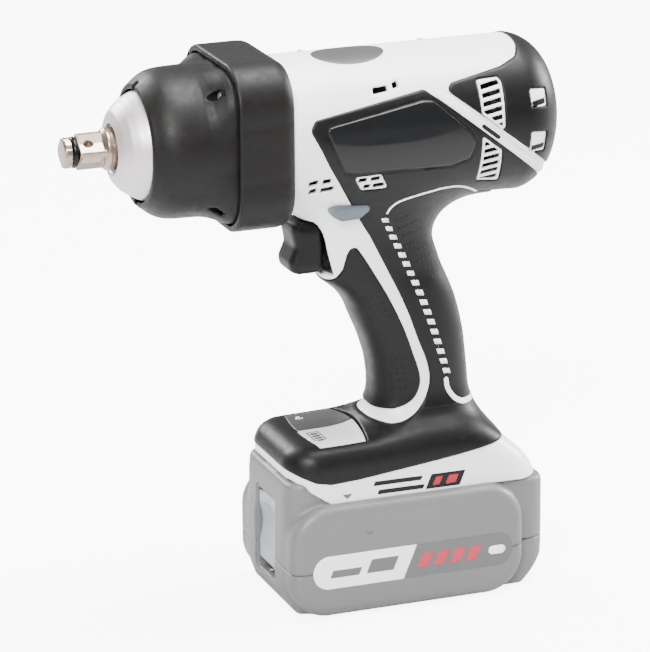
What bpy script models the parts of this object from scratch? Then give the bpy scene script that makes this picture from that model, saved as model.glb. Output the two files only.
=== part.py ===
"""Cordless impact wrench: half-inch square drive, pistol grip and slide-on battery.

The drive axis lies along X with the square at -X, +Z is up, and the battery stands on z = 0.
Distances along the tool are counted from the anvil's tip. All sizes here are in millimetres.
"""

from math import acos, cos, pi, radians, sin, sqrt, tan, tau

import bmesh
import bpy
from mathutils import Matrix, Vector

MM = 0.001
LENGTH = 236.0
AXIS_Z = 230.6
GAP = 0.3

# drive end
SQUARE = 12.7
SQUARE_TURN = radians(40)
SHANK_R = 9.6
DETENT_AT = 11.4
DETENT_R = 2.5

# barrel and its casings
BARREL_R = 35.7
BARREL_WALL = 3.2
HOUSING_FRONT = 98.5
HOUSING_REAR = 191.7
PAD_DEPTH = 1.5
LUG_OFFSET = 27.2
COLLAR_HALF = 39.8
COLLAR_ROUND = 20.5
COLLAR_WALL = 3.0

# foot and battery
FOOT_HALF = 32.0
FOOT_UNDERSIDE = 55.3
PACK_TOP = 54.7
PACK_SEAM = 27.0
PACK_HALF = 31.0
BULGE_HALF = 38.0

# planetary gears
MODULE = 0.9
SUN_TEETH = 12
PLANET_TEETH = 18
RING_TEETH = 48
PRESSURE_ANGLE = radians(25)
BACKLASH = 0.16
PLANET_ORBIT = MODULE * (SUN_TEETH + PLANET_TEETH) / 2
PLANETS = 3

# grip sections: height, front, back, half width
GRIP = (
    (66, 148, 200, 18.0),
    (94, 150.2, 197.8, 17.5),
    (106, 150.4, 196.6, 17.5),
    (118, 148.6, 195.4, 18.0),
    (138, 140.6, 192.0, 18.5),
    (151, 134.6, 187.2, 18.5),
    (161, 121.5, 183.0, 18.3),
    (176, 119.5, 178.4, 18.8),
    (206, 118.0, 184.0, 25.0),
)
GRIP_POINTS = 12
GRIP_SQUARENESS = 2.6


def clear_scene():
    for obj in list(bpy.data.objects):
        bpy.data.objects.remove(obj, do_unlink=True)


def collection(name):
    made = bpy.data.collections.new(name)
    bpy.context.scene.collection.children.link(made)
    return made


clear_scene()
WRENCH = collection("impact_wrench")
CUTTERS = collection("cutters")


def paint(name, colour, roughness, metallic=0.0):
    made = bpy.data.materials.new(name)
    made.use_nodes = True
    shader = made.node_tree.nodes["Principled BSDF"]
    shader.inputs["Base Color"].default_value = (*colour, 1)
    shader.inputs["Roughness"].default_value = roughness
    shader.inputs["Metallic"].default_value = metallic
    return made


WHITE = paint("white_shell", (0.80, 0.80, 0.81), 0.35)
BLACK = paint("black_grip", (0.032, 0.032, 0.033), 0.6)
BOOT = paint("boot_rubber", (0.05, 0.046, 0.043), 0.7)
ALLOY = paint("cast_alloy", (0.68, 0.66, 0.65), 0.4, 1)
NICKEL = paint("anvil_nickel", (0.52, 0.45, 0.40), 0.3, 1)
STEEL = paint("steel", (0.55, 0.55, 0.56), 0.3, 1)
GEAR_STEEL = paint("gear_steel", (0.40, 0.40, 0.42), 0.35, 1)
BRASS = paint("brass", (0.75, 0.55, 0.25), 0.3, 1)
BRONZE = paint("bronze", (0.60, 0.38, 0.20), 0.4, 1)
COPPER = paint("copper", (0.80, 0.35, 0.20), 0.35, 1)
CARBON = paint("carbon", (0.03, 0.03, 0.03), 0.8)
CIRCUIT = paint("circuit_board", (0.02, 0.18, 0.07), 0.5)
SEAL = paint("seal_rubber", (0.02, 0.02, 0.02), 0.5)
LEVER_GREY = paint("lever_grey", (0.30, 0.36, 0.42), 0.45)
PANEL_GREY = paint("panel_grey", (0.17, 0.17, 0.18), 0.5)
PALE_KEY = paint("pale_key", (0.66, 0.67, 0.67), 0.5)
PACK_GREY = paint("pack_grey", (0.38, 0.38, 0.38), 0.5)
LATCH_GREY = paint("latch_grey", (0.50, 0.55, 0.58), 0.45)
CELL_GREEN = paint("cell_sleeve", (0.05, 0.30, 0.20), 0.4)
INNER_PLASTIC = paint("inner_plastic", (0.10, 0.10, 0.11), 0.5)


def at(along, across=0.0, height=0.0):
    """A point of the tool in metres."""
    return Vector(((along - LENGTH / 2) * MM, across * MM, height * MM))


def add(name, mesh, skin, origin=None, turn=None):
    """Puts a mesh in the tool, or among the cutters when it has no skin."""
    obj = bpy.data.objects.new(name, mesh)
    obj.location = origin or (0, 0, 0)
    if turn:
        obj.rotation_euler = turn.to_euler()
    if skin:
        mesh.materials.append(skin)
        WRENCH.objects.link(obj)
    else:
        CUTTERS.objects.link(obj)
        obj.hide_render = True
        obj.display_type = "WIRE"
    return obj


def facing(direction):
    """The rotation that turns local Z to a direction, keeping local Y near world Z."""
    return {
        "X": Matrix(((0, 0, 1), (1, 0, 0), (0, 1, 0))),
        "Y": Matrix(((1, 0, 0), (0, 0, -1), (0, 1, 0))),
        "Z": Matrix.Identity(3),
    }[direction]


def turned(name, outline, skin=None, steps=16, origin=None, turn=None):
    """A turned piece. Its (distance, radius) outline runs forward over the outside and back inside."""
    mesh = bpy.data.meshes.new(name)
    points = [(radius * MM, 0, along * MM) for along, radius in reversed(outline)]
    edges = [(i, i + 1) for i in range(len(points) - 1)]
    if outline[0][1] > 0:
        edges.append((len(points) - 1, 0))
    mesh.from_pydata(points, edges, [])
    obj = add(name, mesh, skin, origin or at(0, 0, AXIS_Z), turn or facing("X"))
    screw = obj.modifiers.new("turn", "SCREW")
    screw.steps = screw.render_steps = steps
    screw.use_merge_vertices = True
    screw.merge_threshold = 0.00001
    screw.use_smooth_shade = True
    return obj


def ring(name, start, end, inner, outer, skin=None, steps=16, origin=None, turn=None):
    outline = [(start, outer), (end, outer), (end, inner), (start, inner)]
    return turned(name, outline, skin, steps, origin, turn)


def drum(name, start, end, radius, skin=None, steps=16, origin=None, turn=None):
    outline = [(start, 0), (start, radius), (end, radius), (end, 0)]
    return turned(name, outline, skin, steps, origin, turn)


def block(name, low, high, skin=None):
    """A box between two corners given as (along, across, height)."""
    size = [(b - a) * MM for a, b in zip(low, high)]
    middle = [(a + b) / 2 for a, b in zip(low, high)]
    shape = bmesh.new()
    bmesh.ops.create_cube(shape, size=1, matrix=Matrix.Diagonal((*size, 1)))
    mesh = bpy.data.meshes.new(name)
    shape.to_mesh(mesh)
    shape.free()
    return add(name, mesh, skin, at(*middle))


def rod(name, start, end, radius, skin=None, sides=24, end_radius=None):
    """A round bar, or a cone, between two points given as (along, across, height)."""
    first, last = at(*start), at(*end)
    shape = bmesh.new()
    last_radius = radius if end_radius is None else end_radius
    bmesh.ops.create_cone(
        shape, cap_ends=True, segments=sides, radius1=radius * MM,
        radius2=last_radius * MM, depth=(last - first).length,
    )
    mesh = bpy.data.meshes.new(name)
    shape.to_mesh(mesh)
    shape.free()
    turn = (last - first).to_track_quat("Z", "Y").to_matrix()
    return add(name, mesh, skin, (first + last) / 2, turn)


def mesh_of_curve(curve, name):
    """The closed mesh of a filled curve."""
    guide = bpy.data.objects.new(name, curve)
    CUTTERS.objects.link(guide)
    depsgraph = bpy.context.evaluated_depsgraph_get()
    mesh = bpy.data.meshes.new_from_object(guide.evaluated_get(depsgraph))
    bpy.data.objects.remove(guide)
    shape = bmesh.new()
    shape.from_mesh(mesh)
    bmesh.ops.remove_doubles(shape, verts=shape.verts, dist=0.000001)
    bmesh.ops.recalc_face_normals(shape, faces=shape.faces)
    shape.to_mesh(mesh)
    shape.free()
    mesh.materials.clear()
    return mesh


def plate(name, outlines, low, high, direction, skin=None, origin=None):
    """Flat outlines, given a thickness from low to high along a world axis.

    Facing X an outline is (across, height), facing Y (along, height) and facing Z (along, across).
    """
    curve = bpy.data.curves.new(name, "CURVE")
    curve.dimensions = "2D"
    curve.fill_mode = "BOTH"
    curve.extrude = (high - low) / 2 * MM
    for outline in outlines:
        spline = curve.splines.new("POLY")
        spline.points.add(len(outline) - 1)
        for point, (u, v) in zip(spline.points, outline):
            point.co = (u * MM, v * MM, 0, 1)
        spline.use_cyclic_u = True
    middle = (low + high) / 2
    base = {"X": at(middle, 0, 0), "Y": at(0, middle, 0), "Z": at(0, 0, middle)}[direction]
    return add(name, mesh_of_curve(curve, name), skin, origin or base, facing(direction))


def coil(name, start, end, radius, wire, turns, skin, height, per_turn=8):
    """A compression spring along X whose axis is at a height."""
    return wound(name, start, end, radius, wire, turns, skin, at(0, 0, height), facing("X"), per_turn)


def wound(name, start, end, radius, wire, turns, skin, origin, turn, per_turn=8):
    curve = bpy.data.curves.new(name, "CURVE")
    curve.dimensions = "3D"
    curve.bevel_depth = wire * MM
    curve.bevel_resolution = 0
    curve.use_fill_caps = True
    spline = curve.splines.new("POLY")
    count = round(turns * per_turn)
    spline.points.add(count)
    for i, point in enumerate(spline.points):
        angle = tau * i / per_turn
        distance = start + wire + (end - start - 2 * wire) * i / count
        point.co = (radius * MM * cos(angle), radius * MM * sin(angle), distance * MM, 1)
    return add(name, mesh_of_curve(curve, name), skin, origin, turn)


def combine(target, operation, *tools, solver="EXACT"):
    for tool in tools:
        step = target.modifiers.new(tool.name, "BOOLEAN")
        step.operation = operation
        step.object = tool
        step.solver = solver
    return target


def carve(target, operation, *tools):
    """As combine, for the thin housing layers, where the exact solver leaves open edges."""
    return combine(target, operation, *tools, solver="MANIFOLD")


def soften(obj, width, segments=1, angle=50):
    step = obj.modifiers.new("edges", "BEVEL")
    step.width = width * MM
    step.segments = segments
    step.limit_method = "ANGLE"
    step.angle_limit = radians(angle)
    return obj


def arc(u, v, radius, start, end, steps):
    """Points of a circular arc, angles in degrees."""
    return [
        (u + radius * cos(radians(start + (end - start) * i / steps)),
         v + radius * sin(radians(start + (end - start) * i / steps)))
        for i in range(steps + 1)
    ]


def rounded_box(u, v, half_u, half_v, corner, steps=4):
    outline = []
    for number, (side_u, side_v) in enumerate(((1, 1), (-1, 1), (-1, -1), (1, -1))):
        centre = (u + side_u * (half_u - corner), v + side_v * (half_v - corner))
        outline += arc(*centre, corner, 90 * number, 90 * number + 90, steps)
    return outline


def lens(u, v, half_length, half_height, steps=6):
    """A pointed oval made of two arcs."""
    radius = (half_length**2 + half_height**2) / (2 * half_height)
    spread = 180 / pi * acos((radius - half_height) / radius)
    upper = arc(u, v - radius + half_height, radius, 90 - spread, 90 + spread, steps)
    lower = arc(u, v + radius - half_height, radius, 270 - spread, 270 + spread, steps)
    return upper[:-1] + lower[:-1]


# ---------------------------------------------------------------- gears


def involute(angle):
    return tan(angle) - angle


def gear_outline(teeth, root, tip, thickness, phase):
    """A gear's outline; thickness is the tooth's width along the pitch circle."""
    pitch = MODULE * teeth / 2
    base = pitch * cos(PRESSURE_ANGLE)
    outline = []
    for tooth in range(teeth):
        middle = phase + tau * tooth / teeth
        flank = []
        for step in range(2):
            radius = max(root, base) + (tip - max(root, base)) * step
            lean = involute(PRESSURE_ANGLE) - involute(acos(min(1, base / radius)))
            flank.append((radius, thickness / (2 * pitch) + lean))
        if root < base:
            flank.insert(0, (root, flank[0][1]))
        both = [(r, middle - a) for r, a in flank] + [(r, middle + a) for r, a in reversed(flank)]
        outline += [(r * cos(a), r * sin(a)) for r, a in both]
    return outline


def gear(name, teeth, phase, start, end, bore, skin=None, centre=(0, 0)):
    """An external gear on an axis along X, at (across, height) from the drive axis."""
    pitch = MODULE * teeth / 2
    outline = gear_outline(
        teeth, pitch - 1.15 * MODULE, pitch + 0.8 * MODULE, pi * MODULE / 2 - BACKLASH, phase
    )
    origin = at((start + end) / 2, centre[0], AXIS_Z + centre[1])
    rings = [outline, arc(0, 0, bore, 0, 324, 9)] if bore else [outline]
    return plate(name, rings, start, end, "X", skin, origin)


def planet_phase(angle):
    """Turns a planet so that one of its gaps faces the sun's tooth at this angle."""
    sun_phase = angle * SUN_TEETH / tau
    return angle + pi - tau / PLANET_TEETH * (0.5 - sun_phase)


def gear_train():
    for number in range(PLANETS):
        angle = pi / 2 + tau * number / PLANETS
        centre = (PLANET_ORBIT * cos(angle), PLANET_ORBIT * sin(angle))
        gear(f"planet_gear_{number + 1}", PLANET_TEETH, planet_phase(angle), 87.6, 96, 2.9,
             GEAR_STEEL, centre)
    pitch = MODULE * RING_TEETH / 2
    teeth = gear_outline(
        RING_TEETH, pitch - 0.8 * MODULE, pitch + 1.15 * MODULE,
        pi * MODULE / 2 + BACKLASH, pi / RING_TEETH
    )
    plate("ring_gear", [arc(0, 0, 27.6, 0, 340, 17), teeth], 87.4, 97.4, "X", GEAR_STEEL,
          at(92.4, 0, AXIS_Z))


# ---------------------------------------------------------------- impact mechanism


def lug(name, start, end, side, inner):
    """The two jaws of the hammer or the anvil: side 0 lies across the tool, side 1 up and down."""
    outer, half = 23.5, 6.5
    reach = rounded_box((inner + outer) / 2, 0, (outer - inner) / 2, half, 1.5, 2)
    pieces = []
    for sign in (-1, 1):
        outline = [(sign * u, v) if side == 0 else (v, sign * u) for u, v in reach]
        pieces.append(plate(f"{name}_{sign}", [outline], start, end, "X", None,
                            at((start + end) / 2, 0, AXIS_Z)))
    return pieces


def anvil():
    body = turned("anvil", [
        (0, 0), (0, 5.6), (0.9, 6.9), (3.4, 6.9), (3.7, 5.2), (6.9, 5.2), (7.2, 6.3), (20.4, 6.3),
        (21.6, 8.6), (22.4, SHANK_R), (46, SHANK_R), (46, 14), (53.5, 14), (53.5, 5.4), (43, 5.4),
        (43, 0),
    ], NICKEL, 16)
    half = SQUARE / 2
    cut = half * sqrt(2) * 0.93
    corners = [(half, -sqrt(cut**2 - half**2)), (half, sqrt(cut**2 - half**2))]
    outline = []
    for quarter in range(4):
        angle = SQUARE_TURN + quarter * pi / 2
        outline += [(u * cos(angle) - v * sin(angle), u * sin(angle) + v * cos(angle))
                    for u, v in corners]
    outline = [(-u, v) for u, v in reversed(outline)]
    drive = plate("drive_square", [outline], 7.3, 20.6, "X", None, at(13.95, 0, AXIS_Z))
    combine(body, "UNION", drive, *lug("anvil_lug", 46.2, 53.3, 0, 8))
    across, height = -cos(SQUARE_TURN) * 12, sin(SQUARE_TURN) * 12
    hole = rod("detent_hole", (DETENT_AT, across, AXIS_Z + height),
               (DETENT_AT, -across, AXIS_Z - height), DETENT_R, None, 10)
    combine(body, "DIFFERENCE", hole)
    turned("friction_ring", [(4.0, 5.5), (4.0, 6.9), (4.5, 7.4), (6.1, 7.4), (6.6, 6.9), (6.6, 5.5)],
           SEAL, 16)
    ring("anvil_bush", 27.8, 44.2, 9.9, 13.2, BRONZE, 16)
    ring("oil_seal", 24.3, 27.2, 9.9, 11.2, SEAL, 16)


def hammer():
    body = turned("hammer", [
        (56, 25.5), (74.4, 25.5), (74.4, 20.6), (61, 20.6), (61, 12.6), (74.4, 12.6), (74.4, 9.3),
        (56, 9.3),
    ], GEAR_STEEL, 16)
    combine(body, "UNION", *lug("hammer_lug", 48.8, 56.5, 1, 14.6))
    ball_radius, ball_orbit = 2.3, 9.2
    grooves = [rod(f"ball_groove_{s}", (55, s * ball_orbit, AXIS_Z), (81, s * ball_orbit, AXIS_Z),
                   ball_radius + GAP, None, 16) for s in (-1, 1)]
    combine(body, "DIFFERENCE", *grooves)
    spindle(ball_radius, ball_orbit)


def ball(name, centre, radius, skin=None):
    shape = bmesh.new()
    bmesh.ops.create_uvsphere(shape, u_segments=8, v_segments=5, radius=radius * MM)
    mesh = bpy.data.meshes.new(name)
    shape.to_mesh(mesh)
    shape.free()
    return add(name, mesh, skin, at(*centre))


def spindle(ball_radius, ball_orbit):
    body = turned("spindle", [
        (43.5, 0), (43.5, 5), (54.2, 5), (55.4, 8.9), (83, 8.9), (83, 24.5), (86.8, 24.5), (86.8, 0),
    ], STEEL, 16)
    pins = []
    for number in range(PLANETS):
        angle = pi / 2 + tau * number / PLANETS
        across, height = PLANET_ORBIT * cos(angle), AXIS_Z + PLANET_ORBIT * sin(angle)
        pins.append(rod(f"planet_pin_{number + 1}", (86, across, height), (96.4, across, height),
                        2.5, None, 12))
    combine(body, "UNION", *pins)
    pockets = []
    for number, side in enumerate((-1, 1)):
        centre = (60, side * ball_orbit, AXIS_Z)
        pockets.append(ball(f"ball_pocket_{number + 1}", centre, ball_radius + GAP))
        ball(f"cam_ball_{number + 1}", centre, ball_radius, STEEL)
    combine(body, "DIFFERENCE", *pockets)
    wound("main_spring", 61.5, 82.5, 16.6, 1.7, 3.5, STEEL, at(0, 0, AXIS_Z), facing("X"), 12)


# ---------------------------------------------------------------- front casings


def flange(name, start, end, half, corner, skin=None):
    outline = rounded_box(0, 0, half, half, corner, 4)
    return plate(name, [outline], start, end, "X", skin, at((start + end) / 2, 0, AXIS_Z))


def screw_centres():
    return [(y * LUG_OFFSET, AXIS_Z + z * LUG_OFFSET) for z in (1, -1) for y in (-1, 1)]


def screw_holes(name, start, end, radius):
    return [rod(f"{name}_{i}", (start, y, z), (end, y, z), radius, None, 10)
            for i, (y, z) in enumerate(screw_centres())]


def front_casings():
    case = turned("hammer_case", [
        (22.6, 11.9), (23.2, 13.8), (24.5, 17), (27.5, 20.4), (31, 22.8), (35.2, 25.2),
        (35.4, 24.0), (43, 30.1), (50, 31.2), (62, 31.6), (89.9, 31.9),
    ] + [(89.9, 28.0), (49, 27.4), (45.3, 25), (44.5, 13.5), (27.5, 13.5), (27.5, 11.5),
         (23.4, 11.5)], ALLOY, 22)
    ears = flange("case_ears", 76, 89.9, 35.6, 17.2)
    combine(ears, "DIFFERENCE", drum("ears_bore", 70, 95, 30))
    combine(case, "UNION", ears)
    combine(case, "DIFFERENCE", *screw_holes("case_hole", 70, 95, 2.5))

    boot = turned("case_boot", [
        (35, 25.95), (34.8, 27.2), (37, 30), (44.5, 34), (50, 34.8), (62, 35.2), (66, 36.5),
        (71.9, 39.6), (71.9, 32.4), (50, 31.6), (43, 30.6), (35.9, 24.7), (35.6, 25.95),
    ], BOOT, 22)
    skirt = flange("boot_skirt", 68.5, 71.9, 39.6, 20)
    combine(skirt, "DIFFERENCE", drum("skirt_bore", 66, 74, 34))
    combine(boot, "UNION", skirt)
    carve(boot, "DIFFERENCE", *screw_holes("boot_notch", 60, 75, 5))

    outer = rounded_box(0, 0, COLLAR_HALF, COLLAR_HALF, COLLAR_ROUND, 5)
    inside = COLLAR_HALF - COLLAR_WALL
    inner = rounded_box(0, 0, inside, inside, COLLAR_ROUND - COLLAR_WALL, 5)
    plate("bumper_collar", [outer, inner], 72.2, 99.7, "X", BOOT, at(85.95, 0, AXIS_Z))

    for number, (y, z) in enumerate(screw_centres()):
        turned(f"case_screw_{number + 1}", [
            (72.6, 0), (72.6, 3.2), (73.2, 3.9), (75.7, 3.9), (75.7, 2.1), (97, 2.1), (97.6, 1.4),
            (97.6, 0),
        ], STEEL, 16, at(0, y, z))
    plate_body = ring("gear_plate", 98.8, 103, 8.3, 31.4, ALLOY, 20)
    soften(plate_body, 0.4)


# ---------------------------------------------------------------- motor


def motor():
    turned("motor_can", [
        (117, 25.6), (186, 25.6), (186, 23.7), (119, 23.7), (119, 8.5), (117, 8.5),
    ], STEEL, 16)
    ring("field_magnet", 122, 180, 20.3, 23.3, CARBON, 16)
    shaft = drum("rotor_shaft", 96, 213.4, 2.9, STEEL, 16)
    combine(shaft, "UNION", gear("sun_pinion", SUN_TEETH, 0, 87.6, 97, 0))
    slots = []
    for tooth in range(9):
        middle = 40 * tooth
        slots += arc(0, 0, 19.4, middle - 16, middle + 16, 2)
        slots += arc(0, 0, 12, middle + 18, middle + 22, 1)
    core = plate("armature", [slots, arc(0, 0, 3.2, 0, 324, 9)], 128, 172, "X", GEAR_STEEL,
                 at(150, 0, AXIS_Z))
    for name, start, end in (("winding_front", 122.5, 129), ("winding_rear", 171, 177.5)):
        combine(core, "UNION", ring(name, start, end, 5, 16.5, None, 16))
    ring("commutator", 188.3, 200, 3.2, 10, COPPER, 16)
    ring("front_bearing", 99, 102.8, 3.2, 8, STEEL, 16)
    ring("rear_bearing", 206.4, 212.6, 3.2, 9.5, STEEL, 16)
    blades = []
    for blade in range(8):
        middle = 45 * blade
        blades += arc(0, 0, 27.5, middle - 2.5, middle + 2.5, 1)
        blades += arc(0, 0, 10, middle + 12, middle + 28, 1)
    fan = plate("cooling_fan", [blades, arc(0, 0, 3.2, 0, 324, 9)], 106, 114, "X",
                INNER_PLASTIC, at(110, 0, AXIS_Z))
    combine(fan, "UNION", ring("fan_disc", 112.5, 114.6, 3.2, 27, None, 16))
    brushes()


def brushes():
    holder = ring("brush_holder", 200.5, 203.5, 12, 28, INNER_PLASTIC, 22)
    for number, side in enumerate((-1, 1)):
        inner, outer = sorted((side * 11.8, side * 27))
        sleeve = block(f"brush_sleeve_{number}", (189.6, inner, AXIS_Z - 5.4),
                       (201.5, outer, AXIS_Z + 5.4))
        low, high = sorted((side * 9, side * 24.6))
        slot = block(f"brush_slot_{number}", (191, low, AXIS_Z - 3.9),
                     (199.4, high, AXIS_Z + 3.9))
        combine(holder, "UNION", sleeve)
        combine(holder, "DIFFERENCE", slot)
    for name, side in (("brush_left", -1), ("brush_right", 1)):
        low, high = sorted((side * 10.4, side * 23))
        block(name, (191.4, low, AXIS_Z - 3.5), (199, high, AXIS_Z + 3.5), CARBON)


# ---------------------------------------------------------------- housing


def loft(name, sections, skin=None):
    """A closed body through rings of equal point counts."""
    count = len(sections[0])
    points = [point for section in sections for point in section]
    faces = []
    for level in range(len(sections) - 1):
        for i in range(count):
            a, b = level * count + i, level * count + (i + 1) % count
            faces.append((a, b, b + count, a + count))
    faces.append(tuple(reversed(range(count))))
    faces.append(tuple(range(len(points) - count, len(points))))
    mesh = bpy.data.meshes.new(name)
    mesh.from_pydata(points, [], faces)
    return add(name, mesh, skin)


def grip_form(name, inset):
    """The pistol grip's column, smaller by an inset all round."""
    sections = []
    for height, front, back, half in GRIP:
        middle = (front + back) / 2
        deep, wide = (back - front) / 2 - inset, half - inset
        section = []
        for i in range(GRIP_POINTS):
            c, s = cos(tau * i / GRIP_POINTS), sin(tau * i / GRIP_POINTS)
            power = 2 / GRIP_SQUARENESS
            u = abs(c) ** power * (1 if c > 0 else -1)
            v = abs(s) ** power * (1 if s > 0 else -1)
            section.append(at(middle + deep * u, wide * v, height))
        sections.append(section)
    return loft(name, sections)


def foot_outline(inset):
    """The foot seen from the side, its front lip raised over the battery's shoulder."""
    return [
        (118 + inset * 0.4, FOOT_UNDERSIDE + inset), (228 - inset, FOOT_UNDERSIDE + inset),
        (226.5 - inset, 62), (222 - inset, 70 - inset * 0.3), (215.5 - inset * 0.7, 79 - inset * 0.7),
        (205 - inset * 0.3, 84.6 - inset), (150, 82.6 - inset), (106 + inset, 81.4 - inset),
        (100.5 + inset, 77.5 - inset * 0.5), (98.6 + inset, 69.5 + inset * 0.6),
        (104 + inset * 0.6, 68 + inset),
    ]


def foot_form(name, inset):
    half = FOOT_HALF - inset
    form = plate(name, [foot_outline(inset)], -half, half, "Y")
    return soften(form, 6 - inset, 1, 60) if inset < 3 else form


def body_form(name, inset):
    """The whole outer form of the housing, smaller by an inset."""
    form = drum(f"{name}_barrel", HOUSING_FRONT - 0.1, HOUSING_REAR, BARREL_R - inset, None, 16)
    return combine(form, "UNION", grip_form(f"{name}_grip", inset), foot_form(f"{name}_foot", inset))


SIDE_PANEL = ((107, 237.5), (109.4, 242.4), (113, 243.4), (163, 250.7), (169.5, 249.4),
              (190, 233.5), (190, 202), (164, 199.8), (131, 199.8), (117, 220))
NAME_PLATE = ((114.4, 239), (162, 246.8), (168, 246.6), (186.5, 230.8), (188.8, 225.6),
              (187, 220.6), (181, 216), (175.5, 215.2), (130, 215.8), (126, 217.4), (116.5, 230.6))
FRONT_PAD = ((131, 166), (132.5, 173.6), (136, 175), (147, 159), (160, 133.6), (168, 111),
             (168.2, 104), (163, 95.6), (152, 92.8), (128, 92.8), (128, 156.6))
REAR_PAD = ((137.4, 189.4), (143.4, 180.6), (157, 154.3), (168.2, 127), (174, 108.5), (173, 99),
            (168, 92.8), (205, 92.8), (205, 172), (196, 189.4))
FOOT_COVER = ((90, 70), (103, 70), (110, 67), (130, 66.1), (178, 71.7), (206, 75.5), (214, 81),
              (207, 90.8), (90, 90.8))
SCREWS = ((122, 260.6, 17), (182, 260.6, 17), (172, 195, 18), (160, 112, 15.5), (214, 68, 26))


def grown(outline, by):
    """The outline moved outwards by a distance; its points run one way round."""
    area = sum(a[0] * b[1] - b[0] * a[1] for a, b in zip(outline, outline[1:] + outline[:1]))
    way = 1 if area > 0 else -1
    result = []
    for i, point in enumerate(outline):
        before, after = Vector(outline[i - 1]), Vector(outline[(i + 1) % len(outline)])
        first, second = (Vector(point) - before).normalized(), (after - Vector(point)).normalized()
        normal = Vector((first.y + second.y, -first.x - second.x)).normalized() * way
        lean = max(0.5, normal.dot(Vector((first.y, -first.x)) * way))
        result.append(tuple(Vector(point) + normal * by / lean))
    return result


def reach_of(side):
    return {-1: (-60, -0.15), 1: (0.15, 60), 0: (-60, 60)}[side]


def skin_piece(name, outline, side, outer, inner, skin):
    """A layer of the housing's surface inside a side outline."""
    piece = plate(name, [list(outline)], *reach_of(side), "Y", skin)
    carve(piece, "INTERSECT", outer)
    return carve(piece, "DIFFERENCE", inner)


def housing():
    outer = body_form("outer_form", 0)
    under_pads = body_form("pad_bed", PAD_DEPTH)
    pocket_floor = body_form("pocket_floor", PAD_DEPTH + GAP)
    hollow = drum("hollow", HOUSING_FRONT - 12, HOUSING_REAR + 3, BARREL_R - BARREL_WALL, None, 16)
    combine(hollow, "UNION", grip_form("grip_hollow", 3.4), foot_form("foot_hollow", 3.2))
    bosses = [rod(f"boss_{i}", (x, -40, z), (x, 40, z), 3.3, None, 10)
              for i, (x, z, _) in enumerate(SCREWS)]
    combine(hollow, "DIFFERENCE", *bosses)
    ribs = [ring(f"motor_rib_{x}", x, x + 3, 26, 33) for x in (126, 176)]
    combine(hollow, "DIFFERENCE", *ribs)

    pockets = []
    for name, outline in (("side_panel", SIDE_PANEL), ("front_pad", FRONT_PAD),
                          ("rear_pad", REAR_PAD), ("foot_cover", FOOT_COVER)):
        pocket = plate(f"{name}_pocket", [grown(list(outline), GAP)], -60, 60, "Y")
        pockets.append(combine(pocket, "DIFFERENCE", pocket_floor))
    insert_pocket = plate("insert_pocket", [lens(131, 0, 18.3, 8.3)], 264.2, 280, "Z")
    panel_pocket = block("panel_pocket", (112.2, -24.3, 79.4), (140.8, 24.3, 90))
    openings = [
        block("trigger_opening", (110, -9, 160.9), (134, 9, 187.8)),
        plate("lever_slot", [lens(129.6, 195.2, 10.4, 4.4)], -60, 60, "Y"),
        block("rail_channel", (90, -16.4, 50), (207.5, 16.4, 60)),
        block("rail_head", (90, -21.4, 58.4), (124, 21.4, 64.4)),
        block("panel_wires", (122, -6, 70), (130, 6, 82)),
    ]
    screw_cuts = []
    for i, (x, z, head) in enumerate(SCREWS):
        screw_cuts.append(rod(f"screw_bore_{i}", (x, -10.3, z), (x, head, z), 1.6, None, 8))
        screw_cuts.append(rod(f"screw_recess_{i}", (x, head - 3.3, z), (x, 60, z), 3.1, None, 10))

    for name, side in (("housing_left", -1), ("housing_right", 1)):
        low, high = reach_of(side)
        half = block(name, (80, low, 20), (240, high, 290), WHITE)
        rim = flange(f"{name}_rim", 90.3, HOUSING_FRONT, 35.6, 17.2)
        keep = block(f"{name}_keep", (80, low, 20), (240, high, 290))
        combine(rim, "INTERSECT", keep)
        carve(half, "INTERSECT", outer)
        carve(half, "UNION", rim)
        carve(half, "DIFFERENCE", hollow, *pockets, insert_pocket, panel_pocket, *openings)
        carve(half, "DIFFERENCE", *screw_holes(f"{name}_thread", 88, 98.2, 2.4))
        carve(half, "DIFFERENCE", *screw_cuts)
    skins(outer, under_pads)


def skins(outer, under_pads):
    """The moulded grips, covers and plates that fill the housing's pockets."""
    lever_hole = plate("panel_lever_hole", [lens(129.6, 195.2, 10.6, 4.6)], -60, 60, "Y")
    proud = body_form("plate_face", -0.5)
    for word, side in (("left", -1), ("right", 1)):
        panel = skin_piece(f"side_panel_{word}", SIDE_PANEL, side, outer, under_pads, BLACK)
        window = plate(f"plate_window_{word}", [grown(list(NAME_PLATE), GAP)], -60, 60, "Y")
        carve(panel, "DIFFERENCE", window, lever_hole)
        skin_piece(f"name_plate_{word}", NAME_PLATE, side, proud, under_pads, BLACK)
    screw_pass = [rod(f"pad_screw_{i}", (x, 5, z), (x, 60, z), 3.3, None, 10)
                  for i, (x, z, _) in enumerate(SCREWS)]
    front = skin_piece("front_grip_pad", FRONT_PAD, 0, outer, under_pads, BLACK)
    rear = skin_piece("rear_grip_pad", REAR_PAD, 0, outer, under_pads, BLACK)
    cover = skin_piece("foot_cover", FOOT_COVER, 0, outer, under_pads, BLACK)
    carve(front, "DIFFERENCE", *screw_pass)
    carve(cover, "DIFFERENCE", block("cover_window", (112.2, -24.3, 70), (140.8, 24.3, 90)))
    insert = plate("top_insert", [lens(131, 0, 18, 8)], 264.5, 280, "Z", PANEL_GREY)
    carve(insert, "INTERSECT", outer)
    carve(rear, "DIFFERENCE", lever_hole)


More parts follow.
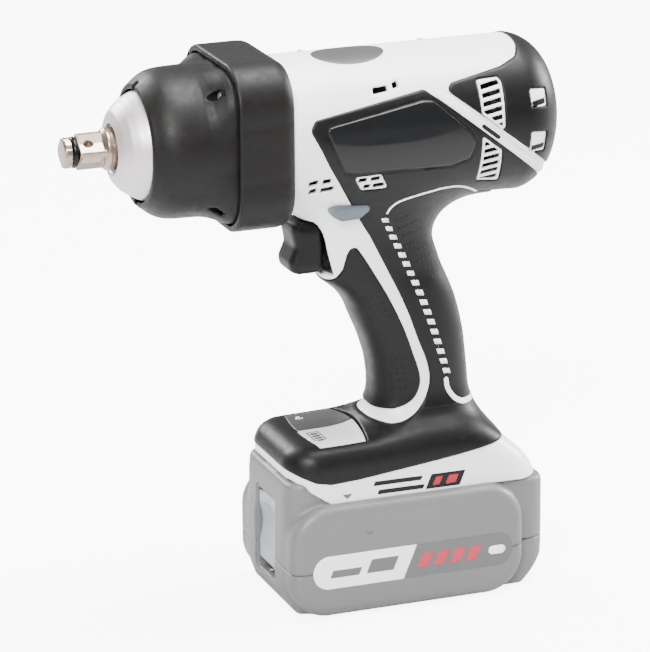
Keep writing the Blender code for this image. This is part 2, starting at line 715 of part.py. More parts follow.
def rear_cap():
    cap = turned("rear_cap", [
        (192, BARREL_R), (216, BARREL_R), (223, 34.2), (229, 30.4), (233, 24.4), (235.2, 17),
        (236, 9), (236, 0), (214, 0), (214, 9.8), (206, 9.8), (206, 13), (228, 13), (228, 26),
        (220, 31.5), (214, 32.6), (192, 32.6),
    ], BLACK, 22)
    vents = []
    for level in range(3):
        height = AXIS_Z + 18 - level * 6
        vents.append(block(f"upper_vent_{level}", (196 + level * 2, -50, height - 1),
                           (204.5, 50, height + 1)))
        vents.append(block(f"lower_vent_{level}", (196, -50, height - 22),
                           (203.5, 50, height - 20)))
    for height in (12, -8):
        vents.append(block(f"rear_window_{height}", (217.5, -50, AXIS_Z + height - 2.5),
                           (219.5, 50, AXIS_Z + height + 2.5)))
    combine(cap, "DIFFERENCE", *vents)


# ---------------------------------------------------------------- controls


def controls():
    key = plate("trigger", [[
        (108.2, 187), (107.4, 178), (107.2, 169), (108.6, 164), (112.5, 161.8), (118, 162.2),
        (124, 164.6), (124, 187),
    ]], -8.5, 8.5, "Y", BLACK)
    soften(key, 2.2, 2)
    combine(key, "UNION", block("trigger_stem", (123, -5, 171), (133.4, 5, 181)))
    plunger = rod("trigger_plunger", (133, 0, 176), (135.4, 0, 176), 1.8, None, 16)
    combine(key, "UNION", plunger)
    body = block("switch_body", (142.6, -11, 163), (168, 11, 190), INNER_PLASTIC)
    soften(body, 1)
    coil("trigger_spring", 133.8, 142.2, 3.4, 0.45, 4, STEEL, 176)

    plate("direction_lever", [lens(129.6, 195.2, 10, 4)], -25.4, 25.4, "Y", LEVER_GREY)

    base = block("control_panel", (112.5, -24, 79.8), (140.5, 24, 81.9), PANEL_GREY)
    beds = [block(f"key_bed_{i}", (115, low - 0.3, 80.7), (138, high + 0.3, 90))
            for i, (low, high) in enumerate(((-21.5, -1), (1, 21.5)))]
    combine(base, "DIFFERENCE", *beds)
    for name, low, high, skin in (("gauge_button", -21.5, -1, PALE_KEY),
                                  ("light_button", 1, 21.5, PANEL_GREY)):
        key = block(name, (115.3, low, 81.4), (137.7, high, 82.3), skin)
        soften(key, 0.3)

    board = block("controller_board", (140, -20, 69), (196, 20, 70.6), CIRCUIT)
    for number, (x, y, size, tall) in enumerate(((148, -10, 5, 4), (162, 6, 7, 5), (182, -8, 6, 6),
                                                 (186, 12, 4, 3))):
        part = block(f"chip_{number}", (x - size, y - size, 70), (x + size, y + size, 70 + tall))
        combine(board, "UNION", part)
    terminals()


def terminals():
    body = block("terminal_block", (206.2, -14, 59), (210.6, 14, 65), INNER_PLASTIC)
    for side in (-1, 1):
        blade = block(f"blade_{side}", (191, side * 5 - 0.5, 60.8), (207, side * 5 + 0.5, 63))
        combine(body, "UNION", blade)
    clip = block("battery_contacts", (180.5, -9, 60.4), (183.5, 9, 63.2), BRASS)
    for side in (-1, 1):
        for low, high in ((3.2, 4.0), (6.0, 6.8)):
            first, second = sorted((side * low, side * high))
            finger = block(f"finger_{side}_{low}", (183, first, 60.4), (203, second, 63.2))
            combine(clip, "UNION", finger)


# ---------------------------------------------------------------- battery


def pack_outline(inset):
    return [
        (100 + inset, 1 + inset), (217 - inset, 1 + inset), (228.6 - inset, 14 + inset),
        (229.6 - inset, 20), (229.6 - inset, PACK_TOP - inset), (117 + inset * 0.4, PACK_TOP - inset),
        (104.4 + inset * 0.6, 66.8 - inset), (98 + inset, 66.8 - inset), (96.4 + inset, 60),
        (95.6 + inset, 12),
    ]


def pack_form(name, inset):
    form = plate(name, [pack_outline(inset)], -PACK_HALF + inset, PACK_HALF - inset, "Y")
    if inset == 0:
        soften(form, 3.5, 2)
    bulge = rounded_box(154.5, 27.2, 59.5 - inset, 27.2 - inset, 18 - inset, 5)
    side = plate(f"{name}_bulge", [bulge], -BULGE_HALF + inset, BULGE_HALF - inset, "Y")
    if inset == 0:
        soften(side, 2.5, 2)
    return combine(form, "UNION", side)


def battery():
    outer = pack_form("pack_outer", 0)
    hollow = pack_form("pack_hollow", 2.6)
    neck = block("tongue_neck", (112, -16, 52), (205, 16, 59.4))
    head = block("tongue_head", (112, -20.8, 58.8), (205, 20.8, 64))
    combine(outer, "UNION", neck, head)
    contact_bay = block("contact_bay", (180, -10, 59.9), (206, 10, 63.5))
    recess = block("button_recess", (90, -12.5, 12), (103.4, 12.5, 56))
    button_slot = block("button_slot", (98.4, -10.6, 50), (103.4, 10.6, 70))

    upper = block("battery_case_upper", (80, -50, PACK_SEAM + 0.15), (240, 50, 80), PACK_GREY)
    combine(upper, "INTERSECT", outer)
    combine(upper, "DIFFERENCE", hollow, contact_bay, recess, button_slot)
    lower = block("battery_case_lower", (80, -50, -5), (240, 50, PACK_SEAM - 0.15), PACK_GREY)
    combine(lower, "INTERSECT", outer)
    combine(lower, "DIFFERENCE", hollow, recess)
    release_button()
    cell_pack()


def release_button():
    key = plate("release_button", [[
        (97.6, 26), (103, 26), (103, 67), (99.2, 67), (99.2, 52), (97.2, 51),
    ]], -10.2, 10.2, "Y", LATCH_GREY)
    scoop = rod("finger_scoop", (93.6, -8, 38), (93.6, 8, 38), 7, None, 16)
    combine(key, "DIFFERENCE", scoop)
    wound("release_spring", 12.5, 25.7, 2, 0.4, 4, STEEL, at(100.4, 0, 0), facing("Z"))


def cell_pack():
    holder = block("cell_pack", (105.4, -1.5, 5), (212, 1.5, 45), CELL_GREEN)
    for column in range(5):
        for height in (13.2, 34.4):
            x = 118 + column * 20
            cell = rod(f"cell_{column}_{height}", (x, -32.5, height), (x, 32.5, height), 9.1, None, 8)
            combine(holder, "UNION", cell)


anvil()
hammer()
gear_train()
front_casings()
motor()
housing()
rear_cap()
controls()
battery()
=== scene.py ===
"""Looks for the cordless impact wrench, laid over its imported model.

Sizes are in millimetres: t runs back from the anvil's tip, y across the tool and z up from the
table. The white shell, its black grips, the battery and the drive end are
written as signed distances, meshed on a fine grid and settled onto the exact surface.
"""

from math import cos, radians, sin, tan, tau

import bmesh
import bpy
import numpy as np
from mathutils import Euler, Matrix, Vector


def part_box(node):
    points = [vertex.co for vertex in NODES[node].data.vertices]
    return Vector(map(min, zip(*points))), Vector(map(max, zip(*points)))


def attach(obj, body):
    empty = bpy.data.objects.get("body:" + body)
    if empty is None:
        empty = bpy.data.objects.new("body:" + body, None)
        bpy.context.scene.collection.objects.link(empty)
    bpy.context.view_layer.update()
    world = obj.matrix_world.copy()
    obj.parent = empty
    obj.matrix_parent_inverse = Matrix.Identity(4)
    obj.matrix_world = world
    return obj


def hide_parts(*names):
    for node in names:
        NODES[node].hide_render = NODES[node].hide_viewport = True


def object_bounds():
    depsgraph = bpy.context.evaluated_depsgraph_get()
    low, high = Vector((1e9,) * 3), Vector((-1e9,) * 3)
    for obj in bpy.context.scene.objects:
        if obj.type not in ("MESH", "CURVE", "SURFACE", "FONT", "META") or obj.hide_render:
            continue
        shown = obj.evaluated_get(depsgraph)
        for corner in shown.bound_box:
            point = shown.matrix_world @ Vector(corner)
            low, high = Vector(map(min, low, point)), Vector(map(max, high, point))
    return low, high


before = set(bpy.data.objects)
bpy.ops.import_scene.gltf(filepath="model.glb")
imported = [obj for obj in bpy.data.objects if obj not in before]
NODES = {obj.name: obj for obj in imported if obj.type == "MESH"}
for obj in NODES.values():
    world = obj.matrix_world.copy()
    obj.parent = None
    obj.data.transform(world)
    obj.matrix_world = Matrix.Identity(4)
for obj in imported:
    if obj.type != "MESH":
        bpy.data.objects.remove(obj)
CAD_BOX = [list(corner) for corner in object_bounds()]
MM = 0.001
TIP = CAD_BOX[0][0]
COARSE = 1.0

# mesh sizes, in millimetres
SHELL_STEP = 0.9
GRIP_STEP = 0.72
PACK_STEP = 0.92

# driving sizes
LENGTH = (CAD_BOX[1][0] - TIP) / MM
AXIS = 230.6
BARREL_R = 35.7
BELLY_R = 38.4
DOME = 20.0
SHELL_FRONT = 98.8
WALL = 2.6
JOINT_HALF = 0.12
PROUD = 0.7
FOOT_UNDERSIDE = 55.3
FOOT_HALF = 32.0
PACK_TOP = 54.9
PACK_HALF = 31.0
BULGE_HALF = 38.0
SQUARE_HALF = 6.35
SQUARE_TURN = radians(40)
SIDES = ((-1, "left"), (1, "right"))


def mm_box(node):
    """A node's lowest and highest corner in the tool's millimetres."""
    low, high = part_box(node)
    return [((c[0] - TIP) / MM, c[1] / MM, c[2] / MM) for c in (low, high)]


# ---------------------------------------------------------------- signed distances


def soft_min(a, b, ease):
    h = np.clip(0.5 + 0.5 * (b - a) / ease, 0, 1)
    return b * (1 - h) + a * h - ease * h * (1 - h)


def soft_max(a, b, ease):
    return -soft_min(-a, -b, ease)


def shell_of(distance, wall):
    """The outer wall's thickness of a form."""
    return np.maximum(distance, -distance - wall)


def box2(a, b, half_a, half_b, corner):
    qa = np.abs(a) - half_a + corner
    qb = np.abs(b) - half_b + corner
    outside = np.hypot(np.maximum(qa, 0), np.maximum(qb, 0))
    return outside + np.minimum(np.maximum(qa, qb), 0) - corner


def box3(t, y, z, centre, half, corner):
    qt = np.abs(t - centre[0]) - half[0] + corner
    qy = np.abs(y - centre[1]) - half[1] + corner
    qz = np.abs(z - centre[2]) - half[2] + corner
    outside = np.sqrt(np.maximum(qt, 0) ** 2 + np.maximum(qy, 0) ** 2 + np.maximum(qz, 0) ** 2)
    return outside + np.minimum(np.maximum(np.maximum(qt, qy), qz), 0) - corner


def eased(points, radius, steps=4):
    """The closed outline with each corner turned into a short curve."""
    made = []
    count = len(points)
    for i in range(count):
        corner = Vector(points[i])
        back = Vector(points[i - 1]) - corner
        on = Vector(points[(i + 1) % count]) - corner
        bend = back.angle(on)
        cut = radius / tan(bend / 2)
        start = corner + back.normalized() * min(cut, back.length * 0.5)
        end = corner + on.normalized() * min(cut, on.length * 0.5)
        for k in range(steps + 1):
            s = k / steps
            made.append(tuple(start * (1 - s) ** 2 + corner * (2 * s * (1 - s)) + end * s * s))
    return made


def drawn(distance, corners, margin=9.0, step=0.4):
    """A flat distance set out once on a fine board and read off it, which is quicker."""
    low, high = corners.min(axis=0) - margin, corners.max(axis=0) + margin
    lines = [np.arange(a, b + step, step) for a, b in zip(low, high)]
    board = distance(lines[0][:, None], lines[1][None, :])

    def read(a, b):
        ends_a, ends_b = lines[0][-1] - step * 0.01, lines[1][-1] - step * 0.01
        near_a, near_b = np.clip(a, low[0], ends_a), np.clip(b, low[1], ends_b)
        u, v = (near_a - low[0]) / step, (near_b - low[1]) / step
        i, j = np.floor(u).astype(int), np.floor(v).astype(int)
        u, v = u - i, v - j
        front = board[i, j] * (1 - v) + board[i, j + 1] * v
        back = board[i + 1, j] * (1 - v) + board[i + 1, j + 1] * v
        return front * (1 - u) + back * u + np.hypot(a - near_a, b - near_b)

    return read


def outline(points):
    """The signed distance to a closed outline."""
    corners = np.array(points, float)
    ends = np.roll(corners, -1, axis=0)

    def distance(a, b):
        a, b = np.broadcast_arrays(a, b)
        nearest = np.full(a.shape, 1e9)
        inside = np.zeros(a.shape, bool)
        for (pa, pb), (qa, qb) in zip(corners, ends):
            ea, eb = qa - pa, qb - pb
            along = np.clip(((a - pa) * ea + (b - pb) * eb) / (ea * ea + eb * eb + 1e-12), 0, 1)
            nearest = np.minimum(nearest, (a - pa - ea * along) ** 2 + (b - pb - eb * along) ** 2)
            if eb:
                inside ^= ((pb <= b) != (qb <= b)) & (a < pa + ea * (b - pb) / eb)
        return np.where(inside, -1.0, 1.0) * np.sqrt(nearest)

    return drawn(distance, corners)


def track(points):
    """The distance to an open line through points."""
    corners = np.array(points, float)

    def distance(a, b):
        a, b = np.broadcast_arrays(a, b)
        nearest = np.full(a.shape, 1e9)
        for (pa, pb), (qa, qb) in zip(corners, corners[1:]):
            ea, eb = qa - pa, qb - pb
            along = np.clip(((a - pa) * ea + (b - pb) * eb) / (ea * ea + eb * eb), 0, 1)
            nearest = np.minimum(nearest, (a - pa - ea * along) ** 2 + (b - pb - eb * along) ** 2)
        return np.sqrt(nearest)

    return drawn(distance, corners)


def curve(points, steps=6):
    """A smooth open line through its points."""
    ends = [2 * np.array(points[0]) - points[1], 2 * np.array(points[-1]) - points[-2]]
    path = [ends[0], *map(np.array, points), ends[1]]
    made = []
    for a, b, c, d in zip(path, path[1:], path[2:], path[3:]):
        for k in range(steps):
            s = k / steps
            bend = 2 * a - 5 * b + 4 * c - d + s * (3 * (b - c) + d - a)
            made.append(tuple(b + 0.5 * s * (c - a + s * bend)))
    return made + [tuple(points[-1])]


def slab(t, z, centre, half_long, half_high, lean, corner=0.4):
    """A slot seen from the side: long along t, leaning by a slope."""
    return box2(t - centre[0], z - centre[1] - lean * (t - centre[0]), half_long, half_high, corner)


# ---------------------------------------------------------------- meshing


def settled(points, field, steps):
    """Moves points onto the surface of a field."""
    eps = 0.05
    for _ in range(steps):
        t, y, z = points.T
        here = field(t, y, z)
        slope = np.stack([
            field(t + eps, y, z) - field(t - eps, y, z),
            field(t, y + eps, z) - field(t, y - eps, z),
            field(t, y, z + eps) - field(t, y, z - eps),
        ], axis=1) / (2 * eps)
        size = np.maximum((slope ** 2).sum(axis=1), 0.05)
        move = np.clip(here / size, -0.6, 0.6)
        points = points - slope * move[:, None]
    return points


def net(field, low, high, step):
    """Surface nets: one corner for each cell that the surface crosses, four-sided faces between."""
    axes = [np.arange(a - step * 1.5, b + step * 2.5, step) for a, b in zip(low, high)]
    grid = [axes[0][:, None, None], axes[1][None, :, None], axes[2][None, None, :]]
    shape = tuple(len(a) for a in axes)
    values = np.broadcast_to(field(*grid), shape)
    solid = values < 0
    cells = tuple(n - 1 for n in shape)
    corners = [(i, j, k) for i in (0, 1) for j in (0, 1) for k in (0, 1)]
    count = np.zeros(cells, np.int8)
    for i, j, k in corners:
        count += solid[i:i + cells[0], j:j + cells[1], k:k + cells[2]]
    where = np.argwhere((count > 0) & (count < 8))
    sampled = {c: values[tuple((where + c).T)] for c in corners}
    total = np.zeros((len(where), 3))
    hits = np.zeros(len(where))
    for a in corners:
        for axis in range(3):
            if a[axis]:
                continue
            b = tuple(v + (n == axis) for n, v in enumerate(a))
            va, vb = sampled[a], sampled[b]
            crossed = (va < 0) != (vb < 0)
            part = np.where(crossed, va / np.where(crossed, va - vb, 1), 0)
            spot = np.array(a, float) + part[:, None] * np.eye(3)[axis]
            total += spot * crossed[:, None]
            hits += crossed
    start = np.array([a[0] for a in axes])
    points = start + (where + total / hits[:, None]) * step
    number = np.full(cells, -1, np.int64)
    number[tuple(where.T)] = np.arange(len(where))
    faces = []
    for axis in range(3):
        ahead = np.roll(np.arange(3), -axis)[1:]
        shift = np.eye(3, dtype=int)[axis]
        first = solid[tuple(slice(0, n - s) for n, s in zip(shape, shift))]
        second = solid[tuple(slice(s, n) for n, s in zip(shape, shift))]
        for way, edges in ((1, first & ~second), (-1, ~first & second)):
            at = np.argwhere(edges)
            across = at[:, ahead]
            at = at[((across > 0) & (across < np.array(cells)[ahead])).all(axis=1)]
            u, v = np.eye(3, dtype=int)[ahead[0]], np.eye(3, dtype=int)[ahead[1]]
            ring = [at - u - v, at - v, at, at - u]
            quad = np.stack([number[tuple(r.T)] for r in ring], axis=1)
            faces.append(quad[:, ::way])
    quads = np.concatenate(faces)
    return settled(points, field, 3), quads[(quads >= 0).all(axis=1)]


def to_metres(points):
    moved = np.array(points, float)
    moved[:, 0] += TIP / MM
    return moved * MM


def mesh_piece(name, points, faces, finish):
    mesh = bpy.data.meshes.new(name)
    mesh.from_pydata(to_metres(points).tolist(), [], [list(f) for f in faces])
    mesh.update()
    mesh.shade_smooth()
    obj = bpy.data.objects.new(name, mesh)
    bpy.context.scene.collection.objects.link(obj)
    mesh.materials.append(finish)
    return obj


def formed(name, field, low, high, step, finish):
    """A piece meshed from its signed distance."""
    points, faces = net(field, low, high, step * COARSE if step > 0.65 else step)
    return mesh_piece(name, points, faces.tolist(), finish)


def ride(obj, body, slot_name, *nodes):
    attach(obj, body)
    if nodes:
        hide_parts(*nodes)
    return obj


# ---------------------------------------------------------------- finishes


class Sum:
    """A number that changes over the surface; arithmetic on it adds Math nodes."""

    def __init__(self, finish, socket):
        self.finish = finish
        self.socket = socket

    def maths(self, operation, *values):
        return self.finish.node("ShaderNodeMath", {"operation": operation}, *values)[0]

    def __add__(self, other):
        return self.maths("ADD", self, other)

    def __mul__(self, other):
        return self.maths("MULTIPLY", self, other)

    def __gt__(self, other):
        return self.maths("GREATER_THAN", self, other)

    def __lt__(self, other):
        return self.maths("LESS_THAN", self, other)

    def sine(self):
        return self.maths("SINE", self)


class Finish:
    """One material, built from nodes on the piece's own coordinates."""

    def __init__(self, name, colour, roughness, metallic=0.0, **constants):
        self.material = bpy.data.materials.new(name)
        self.material.use_nodes = True
        self.tree = self.material.node_tree
        self.shader = self.tree.nodes["Principled BSDF"]
        self.colour = (*colour, 1)
        self.shader.inputs["Base Color"].default_value = self.colour
        self.shader.inputs["Roughness"].default_value = roughness
        self.shader.inputs["Metallic"].default_value = metallic
        for key, value in constants.items():
            self.shader.inputs[key.replace("_", " ")].default_value = value
        self.place = self.node("ShaderNodeTexCoord", {})
        self.heights = []

    def node(self, kind, settings, *values, **named):
        """Adds a node: settings first, then its sockets by place or by name; gives back its outputs."""
        made = self.tree.nodes.new(kind)
        for key, value in settings.items():
            setattr(made, key, value)
        for place, value in [*enumerate(values), *named.items()]:
            socket = made.inputs[place.replace("_", " ") if isinstance(place, str) else place]
            if isinstance(value, Sum):
                self.tree.links.new(value.socket, socket)
            elif value is not None:
                socket.default_value = value
        return [Sum(self, out) for out in made.outputs]

    def spot(self):
        return self.place[3]

    def axes(self):
        """The place along x, y and z in metres."""
        return self.node("ShaderNodeSeparateXYZ", {}, self.spot())

    def noise(self, scale, detail=3.0, rough=0.55, stretch=(1, 1, 1)):
        """Cloudy noise, around 0.5, with about `scale` lumps a metre."""
        place = self.node("ShaderNodeMapping", {}, self.spot(), Scale=stretch)[0]
        return self.node("ShaderNodeTexNoise", {}, place, Scale=scale, Detail=detail, Roughness=rough)[0]

    def grains(self, scale):
        place = self.node("ShaderNodeTexVoronoi", {"feature": "F1"}, self.spot(), Scale=scale)
        return place[0]

    def level(self, amount, low, high, to_low=0.0, to_high=1.0):
        return self.node("ShaderNodeMapRange", {}, amount, low, high, to_low, to_high)[0]

    def tint(self, factor, first, second):
        """A colour between two."""
        made = self.tree.nodes.new("ShaderNodeMix")
        made.data_type = "RGBA"
        self.tree.links.new(factor.socket, made.inputs[0])
        for place, value in ((6, first), (7, second)):
            if isinstance(value, Sum):
                self.tree.links.new(value.socket, made.inputs[place])
            else:
                made.inputs[place].default_value = (*value[:3], 1)
        return Sum(self, made.outputs[2])

    def set(self, socket, value):
        self.tree.links.new(value.socket, self.shader.inputs[socket])

    def bump(self, height, strength, depth_mm):
        """Stacks a bump under the ones already there."""
        below = self.heights[-1] if self.heights else None
        made = self.node("ShaderNodeBump", {}, Strength=strength, Distance=depth_mm * MM, Height=height)
        node = made[0].socket.node
        if below is not None:
            self.tree.links.new(below.socket, node.inputs["Normal"])
        self.heights.append(made[0])
        self.set("Normal", made[0])

    def vary(self, amount, scale=60):
        """Mottles the colour and the roughness a little."""
        cloud = self.noise(scale)
        light = tuple(min(1, c * (1 + amount)) for c in self.colour[:3])
        dark = tuple(c * (1 - amount) for c in self.colour[:3])
        self.set("Base Color", self.tint(cloud, dark, light))
        rough = self.shader.inputs["Roughness"].default_value
        self.set("Roughness", self.level(self.noise(scale * 6), 0.3, 0.7, rough * 0.88, rough * 1.12))
        return self


def moulded(name, colour, roughness, grain=0.25, amount=0.03, **constants):
    """Moulded plastic with a fine spark-eroded grain."""
    made = Finish(name, colour, roughness, **constants)
    made.vary(amount)
    made.bump(made.noise(3200, 2), grain, 0.05)
    return made.material


def elastomer(name, colour, roughness, grain=0.5):
    """Soft overmoulded rubber: matt, finely pebbled, with a faint bloom."""
    made = Finish(name, colour, roughness, Specular_IOR_Level=0.2)
    made.vary(0.14, 45)
    made.bump(made.grains(1500), grain * 0.6, 0.06)
    made.bump(made.noise(5200, 2), grain, 0.04)
    return made.material


def turned_metal(name, colour, roughness, ridges=2600, **constants):
    """Lathe-turned metal with fine rings round the drive axis."""
    made = Finish(name, colour, roughness, 1.0, **constants)
    made.vary(0.08, 90)
    x = made.axes()[0]
    rings = (x * ridges * tau + made.noise(400) * 3).sine()
    made.bump(rings, 0.12, 0.03)
    made.bump(made.noise(1800, 4), 0.18, 0.05)
    return made.material


def cast_metal(name, colour, roughness):
    """Bead-blasted casting."""
    made = Finish(name, colour, roughness, 0.75)
    made.vary(0.06, 80)
    made.bump(made.grains(2400), 0.35, 0.06)
    made.bump(made.noise(900, 5, 0.65), 0.25, 0.08)
    return made.material


def laminated(name, colour, roughness):
    """Stacked iron sheets, half a millimetre thick."""
    made = Finish(name, colour, roughness, 0.9)
    x = made.axes()[0]
    gaps = (x * (tau * 2000)).sine()
    made.set("Base Color", made.tint(made.level(gaps, -0.9, -0.2), (0.05, 0.04, 0.04), colour))
    made.bump(gaps, 0.5, 0.1)
    return made.material


def wound(name, colour):
    """Enamelled wire laid side by side, with painted shade in the valleys between strands."""
    made = Finish(name, colour, 0.32, 1.0, Coat_Weight=0.5)
    x, y, z = made.axes()
    strands = ((y + z) * (tau * 900) + x * 300).sine()
    # painted shade: the colour darkens to deep brown in the valleys between the strands
    made.set("Base Color", made.tint(made.level(strands, -0.8, 0.3), (0.12, 0.03, 0.01), colour))
    made.bump(strands, 0.7, 0.2)
    return made.material


def circuit(name):
    """Solder mask over copper tracks, with pale pads."""
    made = Finish(name, (0.015, 0.13, 0.05), 0.35, Coat_Weight=0.4)
    x, y, z = made.axes()
    tracks = ((x * (tau * 420)).sine() * (z * (tau * 300)).sine() + made.noise(260) * 1.4) > 0.8
    pads = made.grains(420) < 0.16
    colour = made.tint(tracks, (0.012, 0.12, 0.045), (0.03, 0.22, 0.09))
    made.set("Base Color", made.tint(pads, colour, (0.75, 0.72, 0.66)))
    made.bump(tracks, 0.3, 0.05)
    return made.material


WHITE = moulded("white_shell_plastic", (0.80, 0.80, 0.815), 0.36, 0.12, 0.012)
WHITE_TRIM = moulded("white_trim_plastic", (0.80, 0.80, 0.815), 0.36, 0.1, 0.012)
BLACK = elastomer("black_grip_elastomer", (0.0026, 0.0026, 0.0029), 0.44, 0.35)
BOOT = elastomer("boot_rubber_moulding", (0.0040, 0.0035, 0.0032), 0.50, 0.5)
PLATE = moulded("gloss_black_plate", (0.0022, 0.0024, 0.0030), 0.32, 0.02, 0.1, Specular_IOR_Level=0.32)
ALLOY = cast_metal("blasted_alloy", (0.60, 0.572, 0.556), 0.46)
NICKEL = turned_metal("plated_anvil_steel", (0.36, 0.285, 0.24), 0.33)
STEEL = turned_metal("bright_steel", (0.58, 0.58, 0.59), 0.26)
GEAR = turned_metal("hardened_gear_steel", (0.36, 0.36, 0.38), 0.34)
BRASS = turned_metal("turned_brass", (0.76, 0.56, 0.24), 0.28)
BRONZE = turned_metal("sintered_bronze", (0.58, 0.37, 0.19), 0.42)
COPPER = wound("copper_windings", (0.75, 0.30, 0.14))
COMMUTATOR = turned_metal("copper_segments", (0.78, 0.36, 0.20), 0.30)
IRON = laminated("laminated_iron", (0.34, 0.34, 0.35), 0.42)
CARBON = elastomer("pressed_carbon", (0.022, 0.022, 0.023), 0.75, 0.8)
CIRCUIT = circuit("green_circuit_board")
SEAL = elastomer("seal_rubber_black", (0.003, 0.003, 0.003), 0.28, 0.15)
LEVER = moulded("blue_grey_lever", (0.075, 0.092, 0.108), 0.40, 0.15)
PANEL = moulded("dark_grey_panel", (0.040, 0.040, 0.042), 0.42, 0.2)
KEY = moulded("pale_grey_key", (0.60, 0.61, 0.62), 0.42, 0.15)
PACK = moulded("grey_pack_plastic", (0.118, 0.118, 0.120), 0.45, 0.3, 0.02)
LATCH = moulded("blue_grey_latch", (0.25, 0.285, 0.31), 0.42, 0.2)
SLEEVE = moulded("cell_sleeve_film", (0.05, 0.28, 0.20), 0.30, 0.05, 0.08, Coat_Weight=0.4)
INNER = moulded("inner_black_nylon", (0.012, 0.012, 0.013), 0.5, 0.4, 0.1)
# dark print on the keys and the foot's badge; the same dark is also painted shade on the sheets set in the
# window slots and the stripe's slot
DARK_PRINT_AND_SHADE = moulded("dark_print_and_painted_shade", (0.004, 0.004, 0.0045), 0.4, 0.05, Specular_IOR_Level=0.2)
PALE_MARK = moulded("pale_print", (0.86, 0.86, 0.86), 0.4, 0.05)
RED_MARK = moulded("red_print", (0.27, 0.0, 0.012), 0.38, 0.05)
PINK_MARK = moulded("faded_red_print", (0.36, 0.02, 0.045), 0.42, 0.05)
GREY_MARK = moulded("grey_print", (0.085, 0.085, 0.087), 0.42, 0.05)


# ---------------------------------------------------------------- the housing's outer form

GRIP_HEIGHTS = (60, 80, 94, 106, 116, 127, 136, 144, 151, 160, 175, 200)
GRIP_FRONTS = (150, 150, 150.5, 150.5, 149, 145.5, 141.5, 138.5, 133.5, 122, 119, 118)
GRIP_BACKS = (199, 198, 197.5, 196.5, 195.5, 194.2, 192.2, 190, 187.2, 183, 178, 176)
GRIP_HALVES = (18, 18, 17.5, 17.5, 18, 18.5, 18.5, 18.5, 18.5, 18, 19, 22)


def smoothed(heights, values):
    """A table read through a smooth curve, so that the grip has no kinks."""
    fine = np.linspace(heights[0], heights[-1], 281)
    rough = np.interp(fine, heights, values)
    window = np.hanning(25)
    padded = np.pad(rough, 12, mode="edge")
    return fine, np.convolve(padded, window / window.sum(), mode="valid")


GRIP_FRONT = smoothed(GRIP_HEIGHTS, GRIP_FRONTS)
GRIP_BACK = smoothed(GRIP_HEIGHTS, GRIP_BACKS)
GRIP_HALF = smoothed(GRIP_HEIGHTS, GRIP_HALVES)


def barrel(t, y, z):
    rise = z - AXIS
    belly = 1 - (1 - BARREL_R / BELLY_R) * np.clip((t - 140) / 45, 0, 1) * np.clip(-rise / 25, 0, 1)
    radius = np.hypot(y, rise * belly)
    middle = LENGTH / 2 + 30
    return box2(t - middle, radius, LENGTH - middle, BARREL_R, DOME)


def grip(t, y, z):
    front = np.interp(z, *GRIP_FRONT)
    back = np.interp(z, *GRIP_BACK)
    half = np.interp(z, *GRIP_HALF)
    deep = (back - front) / 2
    around = (np.abs((t - (front + back) / 2) / deep) ** 2.6 + np.abs(y / half) ** 2.6) ** (1 / 2.6)
    return np.maximum((around - 1) * np.minimum(deep, half), z - 214)


def foot(t, y, z):
    plan = box2(t - 163.2, y, 65, FOOT_HALF, 15)
    top = z - (82 + (t - 100) * 0.028)
    slope = (t - 207) * 0.62 + (z - 76.6) * 0.78
    shoulder = soft_max(plan, soft_max(top, slope, 10), 13)
    lip = FOOT_UNDERSIDE - z + 12.6 * (1 - np.clip((t - 100) / 18, 0, 1))
    return np.maximum(shoulder, lip)


def body(t, y, z):
    handle = soft_min(grip(t, y, z), foot(t, y, z), 17)
    return soft_min(barrel(t, y, z), handle, 20)


def parted(y, side, gap):
    """The half space of one side, short of the middle by a gap."""
    return gap - y * side


TRIGGER_HALF = 11.0
TRIGGER_HOLE = outline(eased([(90, 189), (132, 188.4), (132, 161.4), (90, 160.4)], 2.5))
STRIPE_AXIS = ((172.4, 248.7), (191.7, 233.4), (227.4, 205.1))

STRIP_EDGE = curve([
    (147, 88.2), (153.6, 87.4), (160.4, 88.8), (166.6, 92.4), (171, 98.2), (173, 106), (171.6, 115.3),
    (167, 126.9), (161.9, 140.9), (155.9, 154.3), (149.3, 167.4)], 5)
PAD_EDGE = curve([
    (131.6, 172), (133, 175), (135.6, 175.9), (138.4, 173), (147, 159.2), (154, 146.6), (160, 133.6),
    (164.6, 121.1), (167.8, 111.7), (168.6, 105.5), (166.5, 99.2), (162.1, 95.4), (155.9, 93)], 5)
# the black grip's area, seen from the side: over the stripe's underside, down the handle, round the foot
BLACK_AREA = outline(eased([
    (107.6, 238.6), (110.4, 243), (165.4, 251.6), (187, 235.4), (228.5, 201.6), (262, 186), (262, 120),
    (216, 87), (209, 76), (178.6, 71.7), (153, 68.6), (130.3, 66.1), (117.7, 65.4), (110.2, 66.9),
    (98, 72.4), (84, 75), (84, 96), (140, 89), *STRIP_EDGE, (142.4, 180.6), (127.1, 204.5),
    (117.1, 220.3)], 3.2))
REAR_AREA = outline(eased([
    (176.4, 249.8), (179.2, 253), (205.7, 257.4), (214.6, 260.4), (218.6, 264.6), (216, 275), (262, 275),
    (262, 184), (228.5, 209.6), (190.9, 238.6)], 2.6))
PLATE_AREA = outline(eased([
    (114, 239.4), (163.6, 247.4), (169.4, 246.8), (186.6, 231.2), (189.6, 225.6), (186.8, 217.4),
    (177.6, 214.6), (130, 215.6), (124, 216.4)], 3.4))
PAD_AREA = outline([(118, 157), (124, 157.6), (127.6, 160.4), (130.2, 164.9), *PAD_EDGE, (148, 92.4),
                    (118, 94)])

